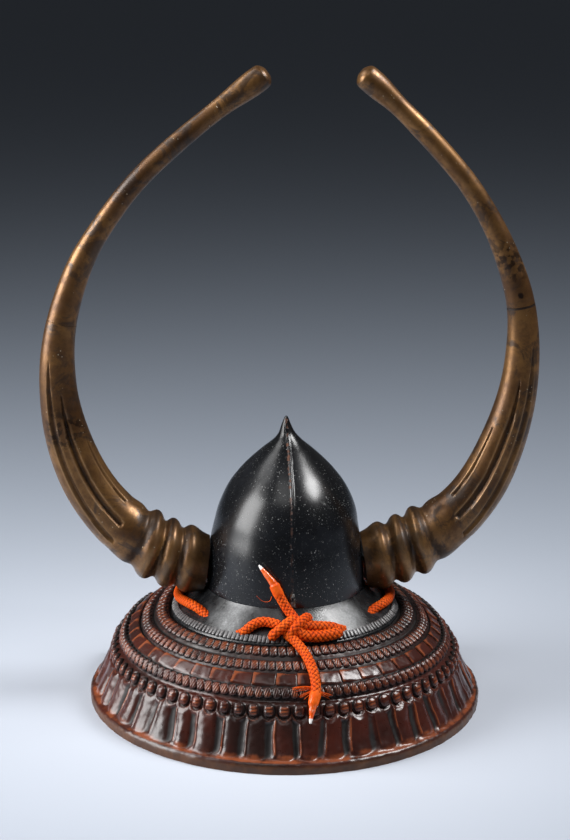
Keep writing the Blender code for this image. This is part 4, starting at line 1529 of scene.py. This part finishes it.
def relief(azimuth, row):
    """How far the guard's face stands out at a point, with its marks hollow and worn."""
    reach, _, _, place, run = row
    out, hollow, worn = 0.0, 0.12, 0.1
    for groove in GROOVE_ROWS:
        hollow = max(hollow, bell(place - groove, 0.7))
    if any(low < place < high for low, high in PAD_BANDS):
        hollow = max(hollow, 0.6)
    if PLAIN_PLATES[0] - 0.5 < place < PLAIN_PLATES[1] + 0.3:
        down = (place - PLAIN_PLATES[0]) / (PLAIN_PLATES[1] - PLAIN_PLATES[0])
        window = smooth_step(-0.35, -0.05, down) * (1 - smooth_step(0.9, 1.1, down))
        out, gap, worn = plain_plate(plate_share(azimuth + 0.9 * wander(azimuth, run, 3.0)), down)
        out, hollow, worn = out * window, max(gap, hollow * (1 - window)), worn * window
    near, down = oval_nearness(azimuth, run, reach)
    if place > 14.5 and near < 2.2:
        ring = bell(near - OVAL_RING[0], OVAL_RING[1])
        out -= OVAL_RING_DEPTH * ring
        hollow = max(hollow, ring)
        if down > -0.1:
            lip = bell(near - OVAL_LIP[0], OVAL_LIP[1]) * smooth_step(-0.1, 0.3, down)
            out += OVAL_LIP_RISE * lip
            worn = max(worn, lip * 0.5)
    if place > OVAL_ROW:
        share = plate_share(azimuth + 1.3 * wander(azimuth, run, 8.0))
        foot = smooth_step(RIM_RUN - TALL_FOOT_LENGTH, RIM_RUN, run)
        share = (share + 0.10 * foot ** 2) % 1.0
        window = smooth_step(1.5, 1.9, near) * smooth_step(PLATE_RUN - 0.005, PLATE_RUN + 0.004, run)
        bottom = RIM_RUN - 0.004 * (2 * share - 1) ** 2
        window *= 1 - smooth_step(bottom - 0.005, bottom, run)
        plate_out, plate_hollow, plate_worn = tall_plate(share, foot)
        window *= 1 + 0.9 * wander(azimuth, run * 0.4, 15.0)
        out += plate_out * window
        hollow = max(hollow, plate_hollow * min(1.0, window))
        worn = max(worn, plate_worn * max(window, foot * (1 - smooth_step(RIM_RUN, RIM_RUN + 0.004, run))))
    return out, hollow, worn


def guard_section(azimuth):
    """One section of the guard: the ledge under the flange, the outer face, the rim and the inside."""
    ledge = flange_edge(azimuth)
    ledge.z -= FLANGE_WALL + LEDGE_GAP
    slope = FLANGE_DROP / (FLANGE_HALF_WIDTH - BOWL_HALF_WIDTH)
    out = Vector((ledge.x, ledge.y, 0.0)).normalized()
    up = Vector((0.0, 0.0, 1.0))
    points = [ledge - out * GUARD_LEDGE + up * (GUARD_LEDGE * slope * LEDGE_SLOPE), ledge + out * LEDGE_GAP]
    # The ledge under the flange is marked fully hollow, so it is painted near black: painted shade under the flange.
    hollows, worns = [1.0, 1.0], [0.0, 0.0]
    face = [guard_point(azimuth, *row[:3]) for row in PROFILE]
    for k, (point, row) in enumerate(zip(face, PROFILE)):
        before, after = face[max(k - 1, 0)], face[min(k + 1, len(face) - 1)]
        fall = (after - before).normalized()
        across = up.cross(out)
        normal = across.cross(fall).normalized()
        if normal.dot(out + up) < 0:
            normal = -normal
        stand, hollow, worn = relief(azimuth, row)
        dents = sum(noise.noise(point * scale) * depth for scale, depth in DENTS)
        points.append(point + normal * (stand + dents * smooth_step(0.0, 2.0, row[3])))
        hollows.append(hollow)
        worns.append(worn)
    for row in GUARD_INSIDE:
        points.append(guard_point(azimuth, *row))
    points.append(ledge - out * GUARD_LEDGE - up * (GUARD_WALL / 2))
    rest = len(points) - len(hollows)
    return [AXIS + point for point in points], hollows + [0.4] * rest, worns + [0.0] * rest


def add_guard():
    pitch = 2 * GUARD_SPREAD / PLATE_COUNT
    azimuths = [plate * pitch - GUARD_SPREAD + pitch * share
                for plate in range(PLATE_COUNT) for share in PLATE_COLUMNS] + [GUARD_SPREAD]
    sections = [guard_section(azimuth) for azimuth in azimuths]
    rings, hollows, worns = zip(*sections)
    piece = rolled("moulded_guard", rings, hollow=hollows, worn=worns)
    bpy.ops.object.shade_smooth_by_angle(angle=math.radians(60))
    return dress(piece, RED_LACQUER, "red_brown_lacquer", "neck_guard")


add_guard()

# %% [markdown]
# ## The rows of pads and ovals
#
# On a laced guard, cords cross over each plate and leave a row of pads. The mould copies them in four
# rows. Each pad is a small grid, drawn in to a rounded square or an oval, domed, scored with strokes
# like the twist of a cord, and given a skirt that sinks into the shell. One pad is made for each row.

# %% One pad
PAD_CELLS = 16
PAD_SKIRT = 0.003
PAD_SWING = 4.0
PAD_SPANS = ((0.94, 1.05), (0.95, 1.05), (0.88, 1.08))


def one_pad(name, width, length, height, roundness, dome_power, strokes, slant, depth):
    """A domed pad with scored strokes, its marks hollow in the strokes and worn on the crown."""
    deselect_all()
    bpy.ops.mesh.primitive_grid_add(x_subdivisions=PAD_CELLS, y_subdivisions=PAD_CELLS, size=2.0)
    pad = bpy.context.object
    pad.name = name
    hollows, worns = [], []
    for vertex in pad.data.vertices:
        x, y = vertex.co.x, vertex.co.y
        edge = max(abs(x), abs(y))
        dome = (1 - edge ** dome_power) ** 0.5
        across = x * (1 - roundness + roundness * math.sqrt(1 - y * y / 2))
        up = y * (1 - roundness + roundness * math.sqrt(1 - x * x / 2))
        wave = math.sin(math.pi * strokes * (up - across * slant))
        score = max(0.0, wave) ** 2 * dome
        vertex.co = (across * width / 2, up * length / 2, height * dome - depth * score)
        # The strokes and the pad's border are marked hollow, so they are painted dark: grime and painted shade.
        hollows.append(max(min(0.75, depth * 800) * score, 0.95 * edge ** 5))
        worns.append(max(0.0, dome - 0.35) * (1 - score))
    store(pad, "hollow", hollows)
    store(pad, "worn", worns)
    bpy.ops.object.mode_set(mode="EDIT")
    bpy.ops.mesh.select_all(action="DESELECT")
    bpy.ops.mesh.select_non_manifold()
    bpy.ops.mesh.extrude_region_move(TRANSFORM_OT_translate={"value": (0, 0, -PAD_SKIRT)})
    bpy.ops.mesh.edge_face_add()
    bpy.ops.mesh.select_all(action="SELECT")
    bpy.ops.mesh.normals_make_consistent(inside=False)
    bpy.ops.object.mode_set(mode="OBJECT")
    bpy.ops.object.shade_smooth()
    return pad


# %% Rows of pads
PAD_ROWS = (
    # name, place, pitch, width, length, height, roundness, dome power, strokes, slant, depth, tilt
    ("pads_first_row", 1.9, 3.8, 0.0097, 0.0150, 0.0030, 0.55, 2.6, 3.0, 0.9, 0.0009, 6.0),
    ("pads_second_row", 5.9, 3.25, 0.0093, 0.0140, 0.0028, 0.55, 2.6, 3.0, 0.9, 0.0009, 6.0),
    ("rope_row", 12.75, 2.9, 0.0104, 0.0142, 0.0032, 0.85, 2.3, 3.2, 1.0, 0.0010, 18.0),
    ("oval_row", OVAL_ROW, OVAL_SPACING, OVAL_WIDTH, OVAL_LENGTH, 0.0050, 1.0, 2.0, 4.0, 0.12, 0.0004, 0.0),
)


def guard_frame(azimuth, place):
    """The frame that lies on the guard's face at an azimuth and a place in the table of rows."""
    run = run_at(place)
    near = [row for row in PROFILE if abs(row[4] - run) < 0.006]
    k = min(range(len(PROFILE)), key=lambda i: abs(PROFILE[i][4] - run))
    point = guard_point(azimuth, *PROFILE[k][:3])
    top, bottom = guard_point(azimuth, *near[0][:3]), guard_point(azimuth, *near[-1][:3])
    right = guard_point(azimuth + 0.4, *PROFILE[k][:3]) - point
    return frame_at(AXIS + point, right, top - bottom)


def pad_frames(place, pitch, tilt):
    count = round(2 * GUARD_SPREAD / pitch)
    for k in range(count):
        azimuth = 2 * GUARD_SPREAD * (k + 0.5) / count - GUARD_SPREAD
        angle = math.radians(tilt + random.uniform(-PAD_SWING, PAD_SWING))
        yield guard_frame(azimuth, place) @ uneven(angle, PAD_SPANS)


for name, place, pitch, *pad_form, tilt in PAD_ROWS:
    pad = one_pad(name, *pad_form)
    dress(copied(name, pad, pad_frames(place, pitch, tilt)), RED_LACQUER, "red_brown_lacquer")

# %% [markdown]
# ## Old gilding
#
# The horns are carved wood under gold lacquer, rubbed and darkened to bronze. Broad clouds of brown
# lie over the gold, the hollows are darker, and small chips show pale ground. Two spots of grime and a
# dark nick have their own places, given as azimuth, reach and height.

# %% Gilding
GILT = (0.235, 0.115, 0.036)
GILT_PALE = (0.40, 0.24, 0.115)
GILT_BROWN = (0.066, 0.027, 0.0085)
GILT_DARK = (0.016, 0.0065, 0.002)
CHIP = (0.46, 0.38, 0.28)
GRIME_SPOTS = ((-86.0, 0.256, 0.332), (87.0, 0.255, 0.520))
NICK = (87.0, 0.2674, 0.481)


def aged_gilt():
    gilt = Finish("aged_gilt", Coat_Roughness=0.25, Coat_Weight=0.12)
    hollow = gilt.mark("hollow")
    worn = gilt.mark("worn")
    cloud = gilt.noise(11.0, 5.0, 0.62, 0.4).between(0.36, 0.62)
    mottle = gilt.noise(75.0, 6.0, 0.72).between(0.42, 0.66)
    smoke = gilt.noise(30.0, 6.0, 0.70, 0.8).between(0.49, 0.62)
    fine = gilt.noise(330.0, 4.0, 0.6)
    skin = (cloud * 0.85).mix(GILT, GILT_BROWN)
    skin = (mottle * 0.6).mix(skin, GILT_BROWN)
    skin = (smoke * 0.8).mix(skin, GILT_DARK)
    skin = (worn * 0.45).clipped().mix(skin, GILT_PALE)
    skin = (hollow + (fine - 0.5) * 0.3).between(0.2, 0.95).mix(skin, GILT_DARK)
    grime = gilt.maths("MINIMUM", *(gilt.away(spot) for spot in GRIME_SPOTS))
    grime = (1 - grime.between(0.012, 0.036)) * gilt.noise(125.0, 4.0).between(0.46, 0.58)
    nick = 1 - (gilt.away(NICK) + (fine - 0.5) * 0.004).between(0.0025, 0.0045)
    skin = gilt.maths("MAXIMUM", grime * 0.85, nick).mix(skin, GILT_DARK)
    chips = 1 - (gilt.specks(190.0) + (fine - 0.5) * 0.3).between(0.06, 0.14)
    chips = chips * gilt.noise(40.0, 2.0).between(0.55, 0.62)
    skin = chips.mix(skin, CHIP)
    metal = (0.62 - smoke * 0.3 - hollow * 0.1 - chips * 0.6).clipped()
    return gilt.close(
        Base_Color=skin,
        Metallic=metal,
        Roughness=(0.33 + mottle * 0.14 + (fine - 0.5) * 0.18 + hollow * 0.2).clipped(),
        Normal=gilt.bump(gilt.noise(60.0, 4.0) + fine * 0.25, 0.0006, 0.3),
    )


OLD_GILT = aged_gilt()
print(OLD_GILT.name)

# %% [markdown]
# ## The horns
#
# Each horn is two pieces, plugged together at the middle. A carver would shape it from the rings at
# the root to the knob at the tip, and the mesh grows the same way: a circle at the bowl is extruded,
# moved, turned and scaled again and again along the horn's centreline, and then smoothed.

# %% Horn sizes
LEFT_HORN_REACH = 0.2632
RIGHT_HORN_REACH = 0.2751
HORN_FOOT = 0.160
HORN_RISE = 0.567
HORN_RADIUS = 0.034
HORN_ROOT_LENGTH = 0.107
RING_RISE = 0.0068
ROOT_LEAN = 0.5
HORN_FLATTEN = 0.86
ROOT_FLATTEN = 0.95
ROOT_EASE = 0.08
HORN_STATIONS = 44
TIP_STATIONS = 40
HORN_SIDES = 32
TIP_SIDES = 24
HORN_JOINT = {"left": 0.503, "right": 0.547}
LEFT_HORN = (
    # reach, rise, radius
    (0.355, 0.001, 1.00),
    (0.482, 0.017, 1.00),
    (0.607, 0.043, 1.00),
    (0.720, 0.083, 1.00),
    (0.811, 0.130, 0.91),
    (0.881, 0.181, 0.86),
    (0.933, 0.236, 0.81),
    (0.973, 0.298, 0.74),
    (0.996, 0.363, 0.65),
    (1.000, 0.424, 0.60),
    (0.990, 0.487, 0.535),
    (0.955, 0.554, 0.485),
    (0.889, 0.638, 0.425),
    (0.832, 0.684, 0.380),
    (0.761, 0.730, 0.360),
    (0.686, 0.779, 0.345),
    (0.565, 0.836, 0.342),
    (0.440, 0.886, 0.330),
    (0.294, 0.941, 0.318),
    (0.200, 0.973, 0.400),
    (0.150, 0.989, 0.455),
    (0.110, 1.003, 0.420),
)
RIGHT_HORN = (
    # reach, rise, radius
    (0.336, 0.001, 1.00),
    (0.457, 0.017, 1.00),
    (0.575, 0.041, 1.00),
    (0.682, 0.074, 1.00),
    (0.737, 0.096, 0.95),
    (0.810, 0.137, 0.89),
    (0.873, 0.189, 0.85),
    (0.925, 0.253, 0.79),
    (0.967, 0.316, 0.72),
    (0.992, 0.383, 0.64),
    (1.000, 0.450, 0.58),
    (0.995, 0.516, 0.51),
    (0.976, 0.567, 0.475),
    (0.950, 0.602, 0.455),
    (0.896, 0.669, 0.403),
    (0.827, 0.732, 0.368),
    (0.743, 0.794, 0.350),
    (0.654, 0.843, 0.347),
    (0.547, 0.899, 0.347),
    (0.441, 0.948, 0.318),
    (0.392, 0.971, 0.400),
    (0.352, 0.989, 0.455),
    (0.312, 1.003, 0.420),
)
RINGS = (
    # along the root, rise of the ring
    (0.000, 0.00),
    (0.090, 0.25),
    (0.170, 1.00),
    (0.250, 1.00),
    (0.318, -0.45),
    (0.372, 0.85),
    (0.435, 1.20),
    (0.492, 0.85),
    (0.545, -0.45),
    (0.600, 0.85),
    (0.660, 1.20),
    (0.722, 0.80),
    (0.785, -0.40),
    (0.870, 0.35),
    (1.000, 0.15),
)
KNOB = (
    # beyond the end of the centreline, radius
    (0.07, 0.90),
    (0.15, 0.68),
    (0.21, 0.36),
)


PATH_STEP = 0.004
COURSE_PASSES = 60
RADIUS_PASSES = 14


def eased(values, passes):
    """A row of values with its unevenness ironed out, its two ends kept."""
    for _ in range(passes):
        inner = (values[:-2] + 2 * values[1:-1] + values[2:]) / 4
        values = np.concatenate([values[:1], inner, values[-1:]])
    return values


def horn_path(side):
    """The horn's centreline in its upright plane: length run, distance from the axis, height, radius."""
    rows, reach = (LEFT_HORN, LEFT_HORN_REACH) if side == "left" else (RIGHT_HORN, RIGHT_HORN_REACH)
    sign = -1 if side == "left" else 1
    line = [Vector((sign * reach * row[0], HORN_FOOT + HORN_RISE * row[1], HORN_RADIUS * row[2]))
            for row in smooth_path(rows, 24)]
    line = np.array(resampled(line, PATH_STEP))
    line = np.stack([eased(line[:, 0], COURSE_PASSES), eased(line[:, 1], COURSE_PASSES),
                     eased(line[:, 2], RADIUS_PASSES)], axis=1)
    run = measured([Vector((x, z, 0.0)) for x, z, _ in line])
    return [(length, *map(float, row)) for length, row in zip(run, line)]


def on_path(path, run):
    """The centreline's place, height and radius at a length run."""
    for low, high in zip(path, path[1:]):
        if run <= high[0]:
            share = (run - low[0]) / (high[0] - low[0])
            return [a + (b - a) * share for a, b in zip(low[1:], high[1:])]
    return list(path[-1][1:])


def station(path, run, extra=0.0, flatten=1.0, lean=1.0):
    """One section: its centre, its lean from upright, its radius and its depth front to back."""
    x, z, radius = on_path(path, run)
    ahead, behind = on_path(path, run + 0.002), on_path(path, run - 0.002)
    angle = math.atan2(ahead[0] - behind[0], (ahead[1] - behind[1]) * lean)
    return AXIS + Vector((x, 0.0, z)), angle, radius + extra, (radius + extra) * flatten


def grown(name, stations, sides):
    """A skin that grows from a circle, extruded from one station to the next."""
    centre, angle, radius, depth = stations[0]
    deselect_all()
    bpy.ops.mesh.primitive_circle_add(vertices=sides, radius=radius)
    piece = bpy.context.object
    piece.name = piece.data.name = name
    bpy.ops.object.mode_set(mode="EDIT")
    shape = bmesh.from_edit_mesh(piece.data)
    turn = Matrix.Rotation(angle, 4, "Y")
    for vertex in shape.verts:
        vertex.co = centre + turn @ vertex.co
    bmesh.update_edit_mesh(piece.data)
    bpy.ops.mesh.select_all(action="SELECT")
    bpy.ops.transform.resize(value=(1, depth / radius, 1), center_override=centre)
    for ahead in stations[1:]:
        bpy.ops.mesh.extrude_region_move(TRANSFORM_OT_translate={"value": ahead[0] - centre})
        swing = ahead[1] - angle
        grow, deepen = ahead[2] / radius, ahead[3] / depth
        centre, angle, radius, depth = ahead
        bpy.ops.transform.rotate(value=-swing, orient_axis="Y", center_override=centre)
        bpy.ops.transform.resize(value=(grow, deepen, grow), center_override=centre)
    bpy.ops.object.mode_set(mode="OBJECT")
    return piece


def smoothed(piece, levels):
    """Subdivision, applied."""
    take(piece)
    finer = piece.modifiers.new("smooth", "SUBSURF")
    finer.levels = finer.render_levels = levels
    bpy.ops.object.modifier_apply(modifier=finer.name)
    return piece


# %% [markdown]
# Long grooves are scooped down the flanks of the lower pieces, deepest and roundest at the rings, and
# a last, thin one runs close to the outer edge. They are pressed into the smoothed skin: every point
# looks up how far along the horn it lies and how far round it, and sinks towards the centreline where
# a groove runs.

# %% Grooves
GROOVES = (
    # degrees round from the outer edge, start and end as shares of the piece, half width, depth
    (58.0, 0.295, 0.88, 0.0042, 0.0036),
    (101.0, 0.315, 0.79, 0.0046, 0.0040),
    (148.0, 0.36, 0.64, 0.0018, 0.0020),
    (15.0, 0.31, 0.66, 0.0012, 0.0012),
)
GROOVE_TAPER = 0.075
GROOVE_SHADE_DEPTH = 0.0034
GROOVE_SHADE = 0.55
LIP_OFFSET = 0.0012
LIP_WIDTH = 0.0011
LIP_RISE = 0.0004
VALLEY_SHADE = 0.75
JOINT_LINE = 0.001
JOINT_MARK = {"left": 0.35, "right": 1.0}


def horn_places(piece, path):
    """For every point: the length run, the degrees round, and the unit vector to the centreline."""
    points = np.array([vertex.co for vertex in piece.data.vertices]) - np.array(AXIS)
    line = np.array(path)
    away = (points[:, None, 0] - line[None, :, 1]) ** 2 + (points[:, None, 2] - line[None, :, 2]) ** 2
    nearest = away.argmin(axis=1)
    course = np.gradient(line[:, 1:3], axis=0)
    course /= np.linalg.norm(course, axis=1)[:, None]
    centre = line[nearest, 1:3]
    offset = np.stack([points[:, 0] - centre[:, 0], points[:, 1], points[:, 2] - centre[:, 1]], axis=1)
    side = math.copysign(1.0, path[0][1])
    outward = np.stack([course[nearest, 1], -course[nearest, 0]], axis=1) * side
    out = offset[:, 0] * outward[:, 0] + offset[:, 2] * outward[:, 1]
    turn = np.degrees(np.arctan2(np.abs(offset[:, 1]), out))
    inward = -offset / np.maximum(np.linalg.norm(offset, axis=1), 1e-6)[:, None]
    return line[nearest, 0], turn, line[nearest, 3], inward


def press_grooves(piece, path, joint, joint_mark):
    """Scoops the grooves, and marks hollows, raised places and the joint for the gilding."""
    run, turn, radius, inward = horn_places(piece, path)
    sink = np.zeros(len(run))
    lip = np.zeros(len(run))
    for middle, start, end, half, depth in GROOVES:
        across = np.abs(np.radians(turn - middle)) * radius
        past = (run - joint * start) / half
        left = (joint * end - run) / GROOVE_TAPER
        rounded = np.sqrt(np.clip(1 - np.clip(1 - past, 0, 1) ** 2, 0, 1))
        width = half * rounded * np.clip(left, 0, 1) ** 0.6
        inside = np.clip(1 - (across / np.maximum(width, 1e-6)) ** 2, 0, 1)
        open_here = (past > 0) & (left > 0)
        scoop = np.where(open_here, depth * np.clip(left * 1.6, 0, 1) ** 0.5 * inside ** 0.7, 0.0)
        sink = np.maximum(sink, scoop)
        edge = np.exp(-((across - width - LIP_OFFSET) / LIP_WIDTH) ** 2) * np.clip(left, 0, 1)
        lip = np.maximum(lip, np.where((past > -0.3) & (left > 0), edge, 0.0))
    root = np.clip(run / HORN_ROOT_LENGTH, 0, 1)
    rise = np.interp(root, [row[0] for row in RINGS], [row[1] for row in RINGS])
    valley = np.where(run < HORN_ROOT_LENGTH, np.clip(0.8 - rise, 0, 1) * VALLEY_SHADE, 0.0)
    seam = np.where(joint - run < JOINT_LINE, joint_mark, 0.0)
    hollow = np.maximum.reduce([sink / GROOVE_SHADE_DEPTH * GROOVE_SHADE, valley, seam])
    worn = np.maximum(lip * 0.8, np.where(run < HORN_ROOT_LENGTH, np.clip(rise - 0.7, 0, 1), 0.0))
    move = inward * (sink - lip * LIP_RISE)[:, None]
    place = np.array([vertex.co for vertex in piece.data.vertices]) + move
    piece.data.vertices.foreach_set("co", place.astype(np.float32).ravel())
    store(piece, "hollow", hollow.astype(np.float32))
    store(piece, "worn", worn.astype(np.float32))
    piece.data.update()


# %% [markdown]
# The foot of each horn is hollowed to sit on the bowl and on the slope of the flange. Points of the
# root that would lie inside either are moved out to its surface, so the seat follows both exactly.

# %% Seating and assembling a horn
SEAT_GAP = 0.0004


def bowl_reach(height):
    return read_table(BOWL_SECTIONS, (height - BOWL_FOOT) / BOWL_HEIGHT, 1)


def seat(piece):
    """Moves points that would lie in the bowl or the flange out to the surface."""
    for vertex in piece.data.vertices:
        away = vertex.co - AXIS
        if abs(away.x) > FLANGE_HALF_WIDTH:
            continue
        azimuth = math.degrees(math.atan2(away.x, -away.y))
        foot, _, edge = flange_slope(azimuth)
        share = (away.xy.length - foot.xy.length) / (edge - foot).xy.length
        floor = foot.lerp(edge, min(1.0, max(0.0, share))).z + SEAT_GAP * 2
        vertex.co.z = max(vertex.co.z, floor)
        share = bowl_reach(vertex.co.z)
        plan = BOWL_FACE_REACH if away.y > 0 else BOWL_BACK_REACH
        depth = 1 - (away.y / (plan * share)) ** 2
        wall = BOWL_HALF_WIDTH * share * math.sqrt(max(0.0, depth)) + SEAT_GAP
        if abs(away.x) < wall:
            vertex.co.x = AXIS.x + math.copysign(wall, away.x)


def add_horn_base(side):
    path = horn_path(side)
    joint = path[-1][0] * HORN_JOINT[side]
    stations = []
    for along, rise in RINGS:
        stations.append(station(path, HORN_ROOT_LENGTH * along, RING_RISE * rise, ROOT_FLATTEN, ROOT_LEAN))
    for k in range(1, HORN_STATIONS + 1):
        run = HORN_ROOT_LENGTH + (joint - HORN_ROOT_LENGTH) * k / HORN_STATIONS
        ease = max(0.0, 1 - (run - HORN_ROOT_LENGTH) / ROOT_EASE)
        flatten = HORN_FLATTEN + (ROOT_FLATTEN - HORN_FLATTEN) * ease
        stations.append(station(path, run, 0.0, flatten, 1 - (1 - ROOT_LEAN) * ease))
    piece = smoothed(grown("gilt_horn_" + side, stations, HORN_SIDES), 2)
    press_grooves(piece, path, joint, JOINT_MARK[side])
    close_up(piece)
    seat(piece)
    bpy.ops.object.shade_smooth_by_angle(angle=math.radians(60))
    return dress(piece, OLD_GILT, "aged_gilt", "horn_base_" + side)


def add_horn_tip(side):
    path = horn_path(side)
    whole = path[-1][0]
    joint = whole * HORN_JOINT[side] + GAP
    stations = []
    for k in range(TIP_STATIONS + 1):
        ease = k / TIP_STATIONS
        run = joint + (whole - joint) * ease
        stations.append(station(path, run, 0.0, HORN_FLATTEN + (1 - HORN_FLATTEN) * ease))
    centre, angle, radius, _ = stations[-1]
    course = Vector((math.sin(angle), 0.0, math.cos(angle)))
    for beyond, share in KNOB:
        stations.append((centre + course * (HORN_RADIUS * beyond), angle, radius * share, radius * share))
    piece = smoothed(grown("gilt_horn_tip_" + side, stations, TIP_SIDES), 2)
    for name in ("hollow", "worn"):
        piece.data.attributes.new(name, "FLOAT", "POINT")
    close_up(piece)
    bpy.ops.object.shade_smooth_by_angle(angle=math.radians(60))
    return dress(piece, OLD_GILT, "aged_gilt", "horn_tip_" + side)


for horn_side in ("left", "right"):
    add_horn_base(horn_side)
    add_horn_tip(horn_side)

# %% [markdown]
# ## Ironwork
#
# Three CAD solids keep their shape: the flat prongs that carry the horns, hidden inside them, and the
# stub of the ring holder on the ridge. They only need the look of old iron.

# %% Iron
IRON_DARK = (0.030, 0.028, 0.027)
IRON_GREY = (0.20, 0.195, 0.185)
IRON_RUST = (0.11, 0.06, 0.035)


def dark_iron():
    iron = Finish("dark_iron", Metallic=0.75)
    worn = iron.noise(320.0, 5.0, 0.65).between(0.42, 0.62)
    rust = iron.noise(180.0, 4.0).between(0.52, 0.66)
    skin = rust.mix(worn.mix(IRON_DARK, IRON_GREY), IRON_RUST)
    return iron.close(
        Base_Color=skin,
        Roughness=(0.45 + worn * 0.15 + rust * 0.2).clipped(),
        Normal=iron.bump(worn, 0.0005, 0.5),
    )


OLD_IRON = dark_iron()
for node_name in ("ring_post", "horn_prong_left", "horn_prong_right"):
    node = frame["nodes"][node_name]
    node.data.materials.clear()
    node.data.materials.append(OLD_IRON)
print(OLD_IRON.name)

# %% [markdown]
# ## The floor
#
# A pale floor whose paint darkens away from its middle: a painted fall-off of the light, as a studio's
# floor goes dark out of the lamps.

# %% Floor
FLOOR_RADIUS = 30.0
FLOOR_NEAR = (0.53, 0.565, 0.635)
FLOOR_FAR = (0.175, 0.204, 0.250)
FLOOR_LIGHT_FALLOFF = 0.50


def add_floor():
    deselect_all()
    bpy.ops.mesh.primitive_circle_add(vertices=96, radius=FLOOR_RADIUS, fill_type="NGON")
    floor = bpy.context.object
    floor.name = "floor"
    paint = Finish("floor_paint", Roughness=0.85)
    away = paint.node("VectorMath", {"operation": "LENGTH"}, {0: paint.place}, "Value") * (1 / FLOOR_LIGHT_FALLOFF)
    # Painted light: the floor's paint falls off with distance like the light of the lamps.
    near = paint.maths("DIVIDE", 1.0, away * away + 1)
    floor.data.materials.append(paint.close(Base_Color=near.mix(FLOOR_FAR, FLOOR_NEAR)))
    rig.stage(floor)


add_floor()
bpy.context.scene.view_settings.view_transform = "Standard"

# %% [markdown]
# ## Sizes, and the end
#
# The helmet's box is measured before and after the dressing, so the two can be compared.

# %% Sizes and finish
visual_bounds = [list(corner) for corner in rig.bounds()]
with open("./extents.json", "w") as size_file:
    json.dump({"cad": cad_bounds, "visual": visual_bounds}, size_file)
print("sizes written")
